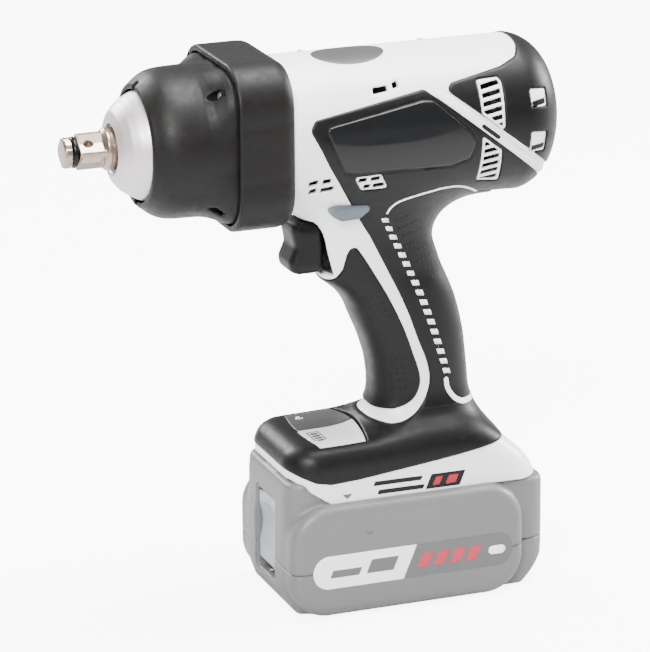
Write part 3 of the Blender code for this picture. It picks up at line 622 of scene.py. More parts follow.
HOOK = curve([(181.6, 105.4), (182.4, 101.1), (185.2, 96.6), (188.7, 94), (192.6, 93.2), (204, 93.2)])
TOP_LINE = curve([(149.2, 192.6), (150.6, 195.6), (154, 198.3), (160.1, 200.1), (168, 201.6), (175.5, 202.6),
                  (183.7, 202.5), (190, 200.4), (196, 197)])
DASH_LINE = curve([(148.8, 189.1), (157.1, 173.1), (164.2, 158.1), (170.3, 143.6), (175.4, 129.3),
                   (180.1, 114.6), (181.6, 109.8)])
BEHIND_DASHES = outline([*TOP_LINE[::-1], *DASH_LINE, *HOOK, (262, 93), (262, 190)])

UPPER_VENT = outline(eased([(191.6, 253.2), (202.6, 253.6), (204, 251.6), (203.5, 230.6), (201.6, 230.4),
                            (191.9, 238.4)], 1.2))
LOWER_VENT = outline(eased([(192, 228.6), (202.6, 220.2), (204, 203.4), (192.4, 204.6)], 1.2))
SMALL_VENT = outline(eased([(129.4, 214.2), (142.6, 214.6), (147.2, 206.6), (133.9, 206.8)], 1.4))
REAR_WINDOWS = [outline(eased(corners, 1.2)) for corners in (
    [(217, 247.4), (226, 246.6), (225.6, 238.2), (217.2, 238.8)],
    [(216.6, 227.8), (225.4, 227), (225, 216.8), (216.6, 217.6)])]
VENT_SLOTS = [(along, up - 3.75 * i) for along, up in ((197.8, 250.6), (198, 224.6)) for i in range(6)]
FRONT_SLOTS = ((110.6, 212.6, 2.4), (117, 213, 2.2), (111.2, 208.1, 2.0), (117.8, 208.6, 3.3))
SMALL_SLOTS = ((133.9, 212.3, 2.2), (140.1, 212.5, 2.4), (136.4, 208.7, 1.8), (142.2, 208.9, 3.0))
TOP_SLOTS = ((144.4, 252.5, 3.8), (152.2, 253.8, 1.6))
GRIP_TOP = 92.6


def panel_gap(t, y):
    """The key panel's outline from above, its two ends bowed outwards."""
    bow = 2.6 * (1 - np.clip(y / 25.5, -1, 1) ** 2)
    return np.maximum(np.abs(t - 126.4) - 11.8 - bow, np.abs(y) - 25.4)


def key_seat(t, y, z, room, floor):
    """The pocket in the foot's top that takes the key panel."""
    return np.maximum(panel_gap(t, y) - room, np.maximum(floor - z, z - 92))


HOUSING_SCREWS = ((122, 260.6), (182, 260.6), (172, 195), (160, 112), (214, 68))
SCREW_DEPTH = 2.9


def screw_wells(t, y, z, outer):
    """The shallow round pockets of the housing screws, on the far side only."""
    wells = 99.0
    for along, up in HOUSING_SCREWS:
        wells = np.minimum(wells, np.hypot(t - along, z - up) - 3.5)
    return np.maximum(wells, np.maximum(-outer - 1.5, 5 - y))


def openings(t, y, z):
    """What is cut through the shell on both sides."""
    cut = np.minimum(UPPER_VENT(t, z), LOWER_VENT(t, z))
    for one in REAR_WINDOWS:
        cut = np.minimum(cut, one(t, z))
    cut = np.minimum(cut, SMALL_VENT(t, z) + 0.6)
    for along, up, half in (*FRONT_SLOTS, *TOP_SLOTS):
        cut = np.minimum(cut, slab(t, z, (along, up), half, 1.35, 0.12))
    hood = np.maximum(cut, 8 - np.abs(y))
    hole = np.maximum(TRIGGER_HOLE(t, z), np.abs(y) - TRIGGER_HALF - 0.8)
    rail = box3(t, y, z, (150, 0, 58), (57, 21.6, 8), 1)
    return np.minimum(np.minimum(hood, hole), rail)


def shell_half(side):
    """One half of the white housing: its wall, the square rim inside the collar, all its cut-outs."""
    def field(t, y, z):
        outer = body(t, y, z)
        rim = np.maximum(box2(y, z - AXIS, 35.6, 35.6, 17.2), 32.3 - np.hypot(y, z - AXIS))
        wall = np.maximum(shell_of(outer, WALL), SHELL_FRONT - t)
        wall = np.minimum(wall, np.maximum(rim, np.abs(t - 95.7) - 3.7))
        for taken in (openings(t, y, z), screw_wells(t, y, z, outer), key_seat(t, y, z, 1.3, 79)):
            wall = np.maximum(wall, -taken)
        return np.maximum(wall, parted(y, side, JOINT_HALF))
    return field


def overmould(area, proud=PROUD, depth=1.1, edge=1.0, surface=body):
    """A skin of the surface inside an outline, proud of it, with eased edges."""
    def field(t, y, z):
        outer = surface(t, y, z)
        skin = np.maximum(soft_max(outer - proud, area(t, z), edge), -outer - depth)
        return np.maximum(skin, -screw_wells(t, y, z, outer))
    return field


def groove(field, line, surface, proud, radius=0.5):
    """Scores a fine line into a skin, where an outline's edge runs."""
    def scored(t, y, z):
        depth = surface(t, y, z) - proud
        return soft_max(field(t, y, z), radius - np.hypot(line(t, z), depth), 0.2)
    return scored


def vents_out(field, ease=0.3):
    """Leaves room in a skin for the vent frames and windows."""
    def holed(t, y, z):
        cut = np.minimum(UPPER_VENT(t, z), np.minimum(LOWER_VENT(t, z), SMALL_VENT(t, z)))
        for one in REAR_WINDOWS:
            cut = np.minimum(cut, one(t, z))
        return soft_max(field(t, y, z), -cut, ease)
    return holed


def reach(area_low, area_high, side):
    """A search box on one side of the tool."""
    low, high = (area_low[0], 0, area_low[1]), (area_high[0], 41, area_high[1])
    if side < 0:
        return (low[0], -41, low[2]), (high[0], 0, high[2])
    return low, high


def make_shell():
    for side, name in SIDES:
        low, high = reach((91.4, 55), (LENGTH, 270), side)
        half = formed(f"shell_{name}", shell_half(side), low, high, SHELL_STEP, WHITE)
        ride(half, "root", "white_shell", f"housing_{name}")


def make_panels():
    """The black skins over each side of the barrel and down the handle."""
    skin = vents_out(groove(overmould(BLACK_AREA), PLATE_AREA, body, PROUD))
    for side, name in SIDES:
        def field(t, y, z, side=side):
            part = np.maximum(skin(t, y, z), GRIP_TOP - z)
            part = np.maximum(part, -BEHIND_DASHES(t, z))
            return np.maximum(part, parted(y, side, 0.02))
        low, high = reach((106, 92), (LENGTH, 253), side)
        skin_half = formed(f"side_grip_{name}", field, low, high, GRIP_STEP, BLACK)
        ride(skin_half, "root", "black_grip", f"side_panel_{name}")


def make_plates():
    for side, name in SIDES:
        def field(t, y, z, side=side):
            outer = body(t, y, z)
            part = soft_max(outer - PROUD - 0.35, PLATE_AREA(t, z) + 0.55, 0.7)
            return np.maximum(np.maximum(part, -outer - 0.2), parted(y, side, 4))
        low, high = reach((112, 213), (191, 249), side)
        ride(formed(f"name_plate_blank_{name}", field, low, high, 0.6, PLATE), "root", "black_panel",
             f"name_plate_{name}")


def make_grips():
    front = overmould(PAD_AREA, 0.8, 1.1, 1.4)
    ride(formed("front_grip", front, (117, -24, 91), (170, 24, 178), GRIP_STEP, BLACK), "root",
         "black_grip", "front_grip_pad")

    def rear(t, y, z):
        skin = overmould(BLACK_AREA)(t, y, z)
        skin = np.maximum(skin, BEHIND_DASHES(t, z) + 0.02)
        return np.maximum(skin, GRIP_TOP - z)
    ride(formed("rear_grip", rear, (147, -33, 92), (204, 33, 206), GRIP_STEP, BLACK), "root",
         "black_grip", "rear_grip_pad")

    thin_skin, thick_skin = overmould(BLACK_AREA), overmould(BLACK_AREA, depth=5.5)

    def cover(t, y, z):
        rim = np.maximum(thick_skin(t, y, z), np.maximum(panel_gap(t, y) - 1.4, 78 - z))
        skin = np.maximum(np.minimum(thin_skin(t, y, z), rim), z - GRIP_TOP - 0.8)
        return soft_max(skin, -key_seat(t, y, z, 0.25, 70), 0.4)
    ride(formed("foot_grip", cover, (97, -34, 64), (216, 34, 94), 0.75, BLACK), "root",
         "black_grip", "foot_cover")

    rear_skin = vents_out(overmould(REAR_AREA, PROUD, 1.3))

    def hood(t, y, z):
        return np.maximum(rear_skin(t, y, z), 176 - t)
    ride(formed("rear_bumper", hood, (175, -38, 185), (LENGTH, 38, 270), 0.78, BLACK), "root",
         "black_grip", "rear_cap")


def make_vents():
    """White grilles with slanted slots, set into the black, and dark sheets of painted shade in the window
    slots.
    """
    def grille(t, y, z):
        outer = body(t, y, z)
        edge = np.minimum(UPPER_VENT(t, z), LOWER_VENT(t, z)) + 0.25
        part = np.maximum(soft_max(outer - PROUD - 0.1, edge, 0.5), -outer - 0.9)
        rows = 99.0
        for along, up in VENT_SLOTS:
            rows = np.minimum(rows, np.abs(z - up - 0.17 * (t - along)) - 1.2)
        return soft_max(part, -np.maximum(rows, edge + 1.0), 0.2)

    def small(t, y, z):
        outer = body(t, y, z)
        part = np.maximum(soft_max(outer - PROUD - 0.1, SMALL_VENT(t, z) + 0.2, 0.5), -outer - 0.9)
        for along, up, half in SMALL_SLOTS:
            part = soft_max(part, -slab(t, z, (along, up), half, 1.15, 0.06), 0.2)
        return part

    def window_slots(t, z):
        upper = slab(t, z, (221.4, 240.6), 3.6, 1.3, 0.1)
        return np.minimum(upper, slab(t, z, (221, 219.6), 3.6, 1.3, 0.1))

    def windows(t, y, z):
        outer = body(t, y, z)
        edge = np.minimum(REAR_WINDOWS[0](t, z), REAR_WINDOWS[1](t, z))
        part = np.maximum(soft_max(outer - PROUD + 0.5, edge + 0.2, 0.5), -outer - 1.2)
        return soft_max(part, -window_slots(t, z), 0.2)

    # painted shade: a dark sheet a little below the surface fills each window slot, standing in for the
    # shade inside the opening
    def painted_slot_shade(t, y, z):
        outer = body(t, y, z)
        return np.maximum(np.maximum(outer + 0.3, window_slots(t, z) - 0.2), -outer - 1.3)

    for side, name in SIDES:
        for label, shape, low, high, finish in (
                ("vent_grilles", grille, (190, 202), (206, 256), WHITE_TRIM),
                ("small_vent", small, (128, 205), (149, 216), WHITE_TRIM),
                ("rear_windows", windows, (215, 215), (228, 249), WHITE_TRIM),
                ("window_slots", painted_slot_shade, (215, 216), (228, 244), DARK_PRINT_AND_SHADE)):
            def field(t, y, z, shape=shape, side=side):
                return np.maximum(shape(t, y, z), parted(y, side, 12))
            box = reach(low, high, side)
            slot_name = "white_shell" if finish is WHITE_TRIM else "inner_plastic"
            ride(formed(f"{label}_{name}", field, *box, 0.5, finish), "root", slot_name)


def ribbon(line, half, proud=PROUD + 0.15, depth=0.5, edge=0.5):
    """A raised white line on the surface, along a path."""
    path = track(line)

    def field(t, y, z):
        outer = body(t, y, z)
        return np.maximum(soft_max(outer - proud, path(t, z) - half, edge), -outer - depth)
    return field


def make_lines():
    """The white stripe down the barrel, the lines round the handle's rear pad, and a dark sheet of painted
    shade in the stripe's slot.
    """
    stripe = ribbon(STRIPE_AXIS, 1.8, PROUD + 0.1, 1.0)
    slot = track([(192.6, 232.7), (200.2, 226.7)])

    def stripe_field(t, y, z):
        return soft_max(stripe(t, y, z), 0.95 - slot(t, z), 0.3)

    # painted shade: a dark sheet set in the stripe's slot stands in for the shade inside the vent behind it
    def stripe_slot_shade(t, y, z):
        outer = body(t, y, z)
        return np.maximum(np.maximum(outer - PROUD + 0.25, slot(t, z) - 1.05), -outer - 0.4)

    lines = (
        ("stripe", stripe_field, (164, 196), (LENGTH, 256), 0.55, WHITE_TRIM, "white_shell"),
        ("stripe_slot", stripe_slot_shade, (190, 224), (203, 236), 0.45, DARK_PRINT_AND_SHADE, "inner_plastic"),
        ("pad_line", ribbon(TOP_LINE, 0.7), (146, 190), (200, 206), 0.5, WHITE_TRIM, "white_shell"),
        ("pad_hook", ribbon(HOOK, 1.35), (179, 90), (202, 108), 0.5, WHITE_TRIM, "white_shell"))
    for side, name in SIDES:
        for label, line, low, high, step, finish, slot_name in lines:
            def field(t, y, z, line=line, side=side):
                return np.maximum(line(t, y, z), parted(y, side, 0.02))
            ride(formed(f"{label}_{name}", field, *reach(low, high, side), step, finish), "root", slot_name)


def make_insert():
    """The soft oval let into the top of the barrel."""
    def field(t, y, z):
        outer = body(t, y, z)
        reach_t, reach_y = 17.8, 10.4
        oval = (np.hypot((t - 137) / reach_t, (y + 5) / reach_y) - 1) * reach_y
        part = np.maximum(soft_max(outer - 0.25, oval, 0.5), -outer - 1)
        return np.maximum(part, 250 - z)
    ride(formed("top_insert_soft", field, (118, -17, 250), (156, 8, 268), 0.55, PANEL), "root",
         "black_grip", "top_insert")


# ---------------------------------------------------------------- copies on the surface


def on_surface(t, z, side, surface=body):
    """Where a line across the tool meets the surface, and the way the surface faces there."""
    across = np.linspace(44, 0, 1761) * side
    depth = surface(np.full_like(across, t), across, np.full_like(across, z))
    first = int(np.argmax(depth < 0))
    y = across[first] if (depth < 0).any() else 0.0
    eps = 0.1
    slope = Vector((surface(t + eps, y, z) - surface(t - eps, y, z),
                    surface(t, y + eps, z) - surface(t, y - eps, z),
                    surface(t, y, z + eps) - surface(t, y, z - eps)))
    return Vector((t, y, z)), slope.normalized()


def copies_tree():
    """A node tree that sets a copy on every point, turned by the point's own attribute."""
    tree = bpy.data.node_groups.new("copies_on_surface", "GeometryNodeTree")
    for label, kind in (("Points", "Geometry"), ("Copy", "Object"), ("Size", "Float"),
                        ("Finish", "Material")):
        tree.interface.new_socket(label, in_out="INPUT", socket_type="NodeSocket" + kind)
    tree.interface.new_socket("Copies", in_out="OUTPUT", socket_type="NodeSocketGeometry")
    start, end, shape, turn, euler, place, real, paint = [tree.nodes.new(kind) for kind in (
        "NodeGroupInput", "NodeGroupOutput", "GeometryNodeObjectInfo", "GeometryNodeInputNamedAttribute",
        "FunctionNodeEulerToRotation", "GeometryNodeInstanceOnPoints", "GeometryNodeRealizeInstances",
        "GeometryNodeSetMaterial")]
    turn.data_type = "FLOAT_VECTOR"
    turn.inputs["Name"].default_value = "turn"
    for first, out, second, into in (
            (start, "Copy", shape, "Object"), (turn, "Attribute", euler, 0),
            (start, "Points", place, "Points"), (shape, "Geometry", place, "Instance"),
            (euler, 0, place, "Rotation"), (start, "Size", place, "Scale"), (place, 0, real, 0),
            (real, 0, paint, "Geometry"), (start, "Finish", paint, "Material"), (paint, 0, end, 0)):
        tree.links.new(first.outputs[out], second.inputs[into])
    return tree


COPIES = copies_tree()


def copies(name, places, shape, finish, size=1.0):
    """One mesh of copies: each place is a point in mm and a turn that sets the copy's own z outwards."""
    mesh = bpy.data.meshes.new(name)
    mesh.from_pydata(to_metres([tuple(p) for p, _ in places]).tolist(), [], [])
    turns = mesh.attributes.new("turn", "FLOAT_VECTOR", "POINT")
    turns.data.foreach_set("vector", [angle for _, turn in places for angle in turn.to_euler()])
    points = bpy.data.objects.new(name + "_points", mesh)
    bpy.context.scene.collection.objects.link(points)
    modifier = points.modifiers.new("copies", "NODES")
    modifier.node_group = COPIES
    inputs = {s.name: s.identifier for s in COPIES.interface.items_tree if s.in_out == "INPUT"}
    modifier[inputs["Copy"]] = shape
    modifier[inputs["Size"]] = size
    modifier[inputs["Finish"]] = finish
    seen = points.evaluated_get(bpy.context.evaluated_depsgraph_get())
    made = bpy.data.objects.new(name, bpy.data.meshes.new_from_object(seen))
    made.data.name = name
    bpy.context.scene.collection.objects.link(made)
    bpy.data.objects.remove(points, do_unlink=True)
    bpy.data.objects.remove(shape, do_unlink=True)
    if not made.data.materials:
        made.data.materials.append(finish)
    made.data.shade_smooth()
    return made


def turned_out(normal, along):
    """The turn that carries z to a normal and x close to a direction."""
    z = normal.normalized()
    x = (along - z * along.dot(z)).normalized()
    y = z.cross(x)
    return Matrix((x, y, z)).transposed()


def block_shape(name, half_x, half_y, half_z, slant=0.0, ease=0.3):
    """A small block with eased edges, its sides slanted in plan, in metres."""
    build = bmesh.new()
    bmesh.ops.create_cube(build, size=2)
    for v in build.verts:
        v.co = Vector((v.co.x * half_x + v.co.y * slant, v.co.y * half_y, v.co.z * half_z)) * MM
    bmesh.ops.bevel(build, geom=build.edges[:], offset=ease * MM, segments=2, affect="EDGES")
    mesh = bpy.data.meshes.new(name)
    build.to_mesh(mesh)
    build.free()
    return bpy.data.objects.new(name, mesh)


def dome_shape(name, radius, height):
    """A low pimple, closed underneath."""
    build = bmesh.new()
    bmesh.ops.create_uvsphere(build, u_segments=10, v_segments=6, radius=1)
    for v in build.verts:
        v.co = Vector((v.co.x * radius, v.co.y * radius, v.co.z * height)) * MM
    mesh = bpy.data.meshes.new(name)
    build.to_mesh(mesh)
    build.free()
    return bpy.data.objects.new(name, mesh)


def even_steps(line, count):
    """Points at even spacing along a path, with the path's direction."""
    path = np.array(line)
    lengths = np.concatenate([[0], np.cumsum(np.hypot(*np.diff(path, axis=0).T))])
    places = np.linspace(0, lengths[-1], count)
    t, z = np.interp(places, lengths, path[:, 0]), np.interp(places, lengths, path[:, 1])
    slope_t, slope_z = np.gradient(t), np.gradient(z)
    return list(zip(t, z, slope_t, slope_z))


def make_dashes():
    for side, name in SIDES:
        places = []
        for t, z, dt, dz in even_steps(DASH_LINE, 17):
            spot, normal = on_surface(t, z, side)
            along = Vector((1, 0, -0.12))
            places.append((spot + normal * (PROUD - 0.28), turned_out(normal, along)))
        shape = block_shape("dash", 1.9, 1.3, 0.5, slant=0.62 * side, ease=0.2)
        ride(copies(f"dashes_{name}", places, shape, WHITE_TRIM), "root", "white_shell")


PIMPLES = [(150.5 + 3.4 * i + 2.2 * j, 187.5 - 4.4 * i + 0.6 * j) for i in range(8) for j in range(6)]
FRONT_PIMPLES = [
    *[(141 + 3.4 * (j % 4) + 1.6 * (j // 4), 150 - 3.5 * (j // 4)) for j in range(16)],
    *[(154.6 + 2.4 * (j % 3) + 0.5 * (j // 3), 118 - 3.6 * (j // 3)) for j in range(15)],
]


def make_pimples():
    """Clusters of fine raised dots for the fingers and the heel of the hand."""
    for side, name in SIDES:
        places = []
        for t, z in PIMPLES:
            if BEHIND_DASHES(np.array(t), np.array(z)) > -3.2:
                continue
            spot, normal = on_surface(t, z, side)
            if abs(spot.y) > 7:
                places.append((spot + normal * PROUD, turned_out(normal, Vector((1, 0, 0)))))
        for t, z in FRONT_PIMPLES:
            if PAD_AREA(np.array(t), np.array(z)) > -2.2:
                continue
            spot, normal = on_surface(t, z, side)
            places.append((spot + normal * (PROUD + 0.1), turned_out(normal, Vector((1, 0, 0)))))
        dots = copies(f"grip_dots_{name}", places, dome_shape("dot", 0.62, 0.42), BLACK)
        ride(dots, "root", "black_grip")


def screw_form(radius, depth):
    """A domed screw head with a six-lobed socket, about its own axis, in the plane's own frame."""
    def field(a, b, c):
        around = np.hypot(a, b)
        head = soft_max(around - radius, c - 0.9 + 0.04 * around ** 2, 0.5)
        lobes = around - radius * (0.5 + 0.07 * np.cos(6 * np.arctan2(b, a)))
        socket = np.maximum(lobes, 0.9 - depth - c)
        return np.maximum(soft_max(head, -socket, 0.15), -1.8 - c)
    return field


def screw_shape(name, radius=3.2):
    points, faces = net(screw_form(radius, 1.5), (-radius, -radius, -2), (radius, radius, 1.2), 0.24)
    mesh = bpy.data.meshes.new(name)
    mesh.from_pydata((points * MM).tolist(), [], faces.tolist())
    mesh.update()
    return bpy.data.objects.new(name, mesh)


def make_housing_screws():
    places = []
    for t, z in HOUSING_SCREWS:
        spot = on_surface(t, z, 1)[0]
        turn = turned_out(Vector((0, 1, 0)), Vector((1, 0, 0)))
        places.append((Vector((t, spot.y - SCREW_DEPTH, z)), turn))
    ride(copies("housing_screws", places, screw_shape("screw"), STEEL), "root", "steel")


# ---------------------------------------------------------------- drive end


def turned_profile(profile):
    """The distance to a solid turned about the drive axis, from (t, radius) points."""
    shape = outline(profile)

    def field(t, y, z):
        return shape(t, np.hypot(y, z - AXIS))
    return field


NOSE_FACE = 22.6
NOSE_OUT = [(NOSE_FACE, 12.6), (23.2, 13.8), (24.5, 17), (27.5, 20.4), (31, 22.8), (34.5, 24.6), (38, 26),
            (46, 30.8), (54, 31.6), (72, 31.8), (97.5, 31.8)]
NOSE_IN = [(97.5, 29.4), (55, 29.4), (48, 28.2), (41, 23.6), (36, 20), (32.5, 15), (30, 11.6),
           (23.4, 11.2)]
BOOT_FACE = 34.8
BOOT_LINE = curve([(30.8, 25.9), (33, 27.3), (36.2, 29.4), (40, 32.3), (43.5, 34), (48, 34.9), (55, 35.2),
                   (62, 35.3), (66, 35.6), (71.8, 36), (76, 36)], 4)
LOBE_LINE = [(30, 0), (56, 0), (60, 0.6), (63.4, 2.2), (66.4, 4.3), (69, 6.2), (71.4, 7.3), (76, 7.3)]


def make_nose():
    casing = turned_profile(eased([*NOSE_OUT, *NOSE_IN], 0.8, 3))

    def field(t, y, z):
        radius = np.hypot(y, z - AXIS)
        bosses = np.hypot(np.abs(y) - 23.6, np.abs(z - AXIS) - 23.6) - 4.4
        bosses = np.maximum(bosses, np.maximum(67.5 - t, t - 97))
        rim = np.maximum(np.abs(radius - 12.1) - 0.3, t - NOSE_FACE - 0.5)
        return soft_max(soft_min(casing(t, y, z), bosses, 1), -rim, 0.2)
    ride(formed("nose_casing", field, (22, -33, AXIS - 33), (98, 33, AXIS + 33), 0.8, ALLOY), "root",
         "cast_alloy", "hammer_case")


def corner_weight(y, z):
    """One at the four corners round the drive axis, falling off smoothly between them."""
    angle = np.arctan2(z - AXIS, y)
    return np.clip((np.abs(np.sin(2 * angle)) - 0.38) / 0.62, 0, 1) ** 1.6


def make_boot():
    line_t, line_r = zip(*BOOT_LINE)
    lobe_t, lobe_r = zip(*LOBE_LINE)

    def field(t, y, z):
        up = z - AXIS
        radius = np.hypot(y, up)
        skin = np.interp(t, line_t, line_r) + np.interp(t, lobe_t, lobe_r) * corner_weight(y, z)
        lean = 0.78 + 0.22 * np.clip((t - 44) / 12, 0, 1)
        outer = soft_max((radius - skin) * lean, np.maximum(BOOT_FACE - t, t - 75.4), 0.8)
        inner = radius - np.interp(t, line_t, np.array(line_r) - 2.6)
        wall = np.maximum(outer, -inner * lean)
        side = np.hypot(np.abs(y) - 26, np.abs(up) - 26)
        drop = side - np.clip((t - 60.5) / 9, 0, 1) ** 0.7 * 4.2
        wall = soft_max(wall, -np.maximum(drop, 60.5 - t) * 0.9, 0.5)
        nick = box3(t, y, np.abs(up), (BOOT_FACE, 0, 28.5), (2.4, 1.6, 3.2), 0.4)
        return soft_max(wall, -nick, 0.3)
    ride(formed("nose_boot", field, (34, -42, AXIS - 42), (76, 42, AXIS + 42), 0.7, BOOT), "root",
         "boot_rubber", "case_boot")


COLLAR_HALF = 39.7


def make_collar():
    def field(t, y, z):
        up = z - AXIS
        plan = box2(y, up, COLLAR_HALF, COLLAR_HALF, 20.5)
        hips = 0.35 * np.clip(1 - np.abs(np.abs(up) - 13) / 3.5, 0, 1)
        outer = soft_max(plan + hips, np.maximum(72.3 - t, t - 99.6), 1.6)
        rear = plan + 3.0 * np.clip((t - 92) / 7.6, 0, 1) ** 2
        outer = soft_max(outer, rear, 1.2)
        wall = np.maximum(outer, -np.minimum(plan + 3.4, np.hypot(y, up) - 36.4))
        bores = np.hypot(np.abs(y) - 31.2, up - 31.2) - 1.7
        return soft_max(wall, -np.maximum(bores, t - 79), 0.3)
    low, high = (72, -40, AXIS - 40), (99.8, 40, AXIS + 40)
    ride(formed("bumper_collar_soft", field, low, high, 0.72, BOOT), "root", "boot_rubber", "bumper_collar")


def make_anvil():
    def field(t, y, z):
        up = z - AXIS
        radius = np.hypot(y, up)
        a = y * cos(SQUARE_TURN) + up * sin(SQUARE_TURN)
        b = -y * sin(SQUARE_TURN) + up * cos(SQUARE_TURN)
        square = box2(a, b, SQUARE_HALF, SQUARE_HALF, 0.9)
        square = soft_max(square, radius - 8.6, 0.4)
        square = soft_max(square, np.maximum(6.6 - t, t - 24), 0.5)
        neck = np.maximum(radius - 5.3, np.maximum(2 - t, t - 8))
        tip = np.maximum(box2(a, b, 6.3, 6.3, 2.2), radius - 7.1)
        tip = soft_max(soft_max(tip, t - 3.5, 0.6), 0.05 - t, 0.9)
        dimple = np.maximum(radius - 2.6, t - 0.7)
        shank = soft_max(radius - 9.6, np.maximum(19.8 - t, t - 60), 0.8)
        fillet = np.maximum(radius - 8.2 - np.clip(t - 18.6, 0, 1.4), np.maximum(18.6 - t, t - 21))
        part = np.minimum(np.minimum(soft_min(square, shank, 1.2), neck), tip)
        part = soft_min(part, fillet, 0.8)
        hole = np.maximum(np.hypot(t - 11.4, a) - 2.45, -b)
        part = soft_max(part, -hole, 0.3)
        return np.maximum(part, -dimple)
    ride(formed("drive_square", field, (0, -10, AXIS - 10), (60, 10, AXIS + 10), 0.36, NICKEL), "anvil",
         "anvil_nickel")


def make_ring():
    def field(t, y, z):
        return np.hypot(np.hypot(y, z - AXIS) - 5.9, t - 5.2) - 1.45
    ride(formed("socket_ring", field, (3, -8, AXIS - 8), (8, 8, AXIS + 8), 0.36, SEAL), "anvil",
         "seal_rubber", "friction_ring")


# ---------------------------------------------------------------- controls

TRIGGER_SHAPE = outline(eased([
    (108.4, 187.6), (123.6, 187.4), (124, 176), (123.6, 162.4), (111.4, 162.2), (107, 163.8),
    (106.4, 168.6), (109.4, 175.6), (108, 183)], 4.6))


def make_trigger():
    def field(t, y, z):
        grip_face = soft_max(TRIGGER_SHAPE(t, z), np.abs(y) - TRIGGER_HALF, 5.5)
        stem = box3(t, y, z, (127, 0, 175), (6.3, 5.4, 8), 1)
        return np.minimum(grip_face, stem)
    ride(formed("trigger_finger", field, (104, -12, 160), (134, 12, 189), 0.5, BLACK), "trigger",
         "black_grip", "trigger")


def make_lever():
    shape = outline(eased([(119.6, 197.6), (124, 199.2), (139.6, 198.6), (139.6, 195.4), (135, 191.4),
                           (126.6, 191), (122.4, 193.6)], 2.2))

    def field(t, y, z):
        return soft_max(shape(t, z), np.abs(y) - 27.2 + 0.05 * (z - 197) ** 2, 1.4)
    bar = formed("direction_bar", field, (118, -28, 189), (142, 28, 200.6), 0.5, LEVER)
    ride(bar, "direction_lever", "lever_grey", "direction_lever")


def make_keys():
    """The key panel's base and its two keys, flush with the cover round them."""
    def base(t, y, z):
        top = soft_max(panel_gap(t, y) - 0.2, body(t, y, z) + 0.9, 0.3)
        return np.maximum(top, 79.6 - z)
    ride(formed("key_panel", base, (110, -27, 79), (143, 27, 88), 0.55, PANEL), "root",
         "panel_grey", "control_panel")
    for body_name, way, finish, slot_name in (
            ("gauge_button", -1, KEY, "pale_key"), ("light_button", 1, PANEL, "panel_grey")):
        def key(t, y, z, way=way):
            outer = body(t, y, z)
            plan = np.maximum(panel_gap(t, y) + 0.4, 0.25 - way * y)
            return np.maximum(soft_max(plan, outer - 0.4, 0.6), -0.35 - outer)
        low, high = (110, min(0, 26 * way), 78), (143, max(0, 26 * way), 88)
        ride(formed(f"{body_name}_cap", key, low, high, 0.5, finish), body_name, slot_name, body_name)


def raised(name, blocks, finish, body_name, slot_name):
    """A few thin flat marks on a key, in one piece: each is (t, y, half t, half y)."""
    def field(t, y, z):
        marks = 99.0
        for along, across, half_t, half_y in blocks:
            marks = np.minimum(marks, box2(t - along, y - across, half_t, half_y, 0.1))
        outer = body(t, y, z)
        return np.maximum(marks, np.maximum(outer - 0.55, -outer - 0.1))
    low = (min(b[0] - b[2] for b in blocks) - 0.5, min(b[1] - b[3] for b in blocks) - 0.5, 78)
    high = (max(b[0] + b[2] for b in blocks) + 0.5, max(b[1] + b[3] for b in blocks) + 0.5, 86)
    return ride(formed(name, field, low, high, 0.2, finish), body_name, slot_name)


def make_key_pictures():
    """A three-bar gauge on one key and a small lamp picture on the other."""
    rim = [(118.2, -5.2, 2.9, 0.3), (118.2, -16.4, 2.9, 0.3), (115.4, -10.8, 0.3, 5.9),
           (121, -10.8, 0.3, 5.9), (118.2, -17.3, 1.2, 0.6)]
    bars = [(118.2, -7.8 - 3.0 * i, 1.9, 0.85) for i in range(3)]
    raised("gauge_picture", rim + bars, DARK_PRINT_AND_SHADE, "gauge_button", "black_panel")
    lamp = [(119.4, 17.4, 0.9, 0.9), (119.4, 15.4, 0.35, 0.7), (120.8, 15.8, 0.35, 0.7),
            (118, 15.8, 0.35, 0.7)]
    raised("lamp_picture", lamp, PALE_MARK, "light_button", "pale_key")


# ---------------------------------------------------------------- battery

PACK_SIDE = outline(eased([
    (101, 1.2), (216, 1.2), (228.6, 14.5), (229.4, 22), (229.4, PACK_TOP), (118, PACK_TOP), (105, 66.6),
    (97.4, 66.6), (95.8, 58), (95.2, 14)], 4))
PACK_SEAM = 24.0


def pack(t, y, z):
    """The battery's outer form: its case and the fatter cell bay through both sides."""
    plan = box2(t - 162.4, y, 67.2, PACK_HALF, 11)
    case = soft_max(PACK_SIDE(t, z), plan, 3.0)
    bay = soft_max(box2(t - 155.2, z - 28.3, 59.2, 27.6, 19), np.abs(y) - BULGE_HALF, 6.5)
    return soft_min(case, bay, 2.2)


def tongue(t, y, z):
    neck = box3(t, y, z, (158.5, 0, 57), (46.5, 15.8, 4), 0.8)
    head = box3(t, y, z, (158.5, 0, 61.3), (46.5, 20.6, 2.4), 0.8)
    return np.minimum(neck, head)


def latch_bay(t, y, z):
    mouth = box2(y, z - 33.4, 13.2, 21.6, 3)
    return np.maximum(mouth, t - 108.5)


def pack_scored(t, y, z):
    """The case with its joint line scored round it."""
    outer = pack(t, y, z)
    line = np.hypot(z - PACK_SEAM, outer) - 0.45
    return soft_max(outer, -line, 0.25)


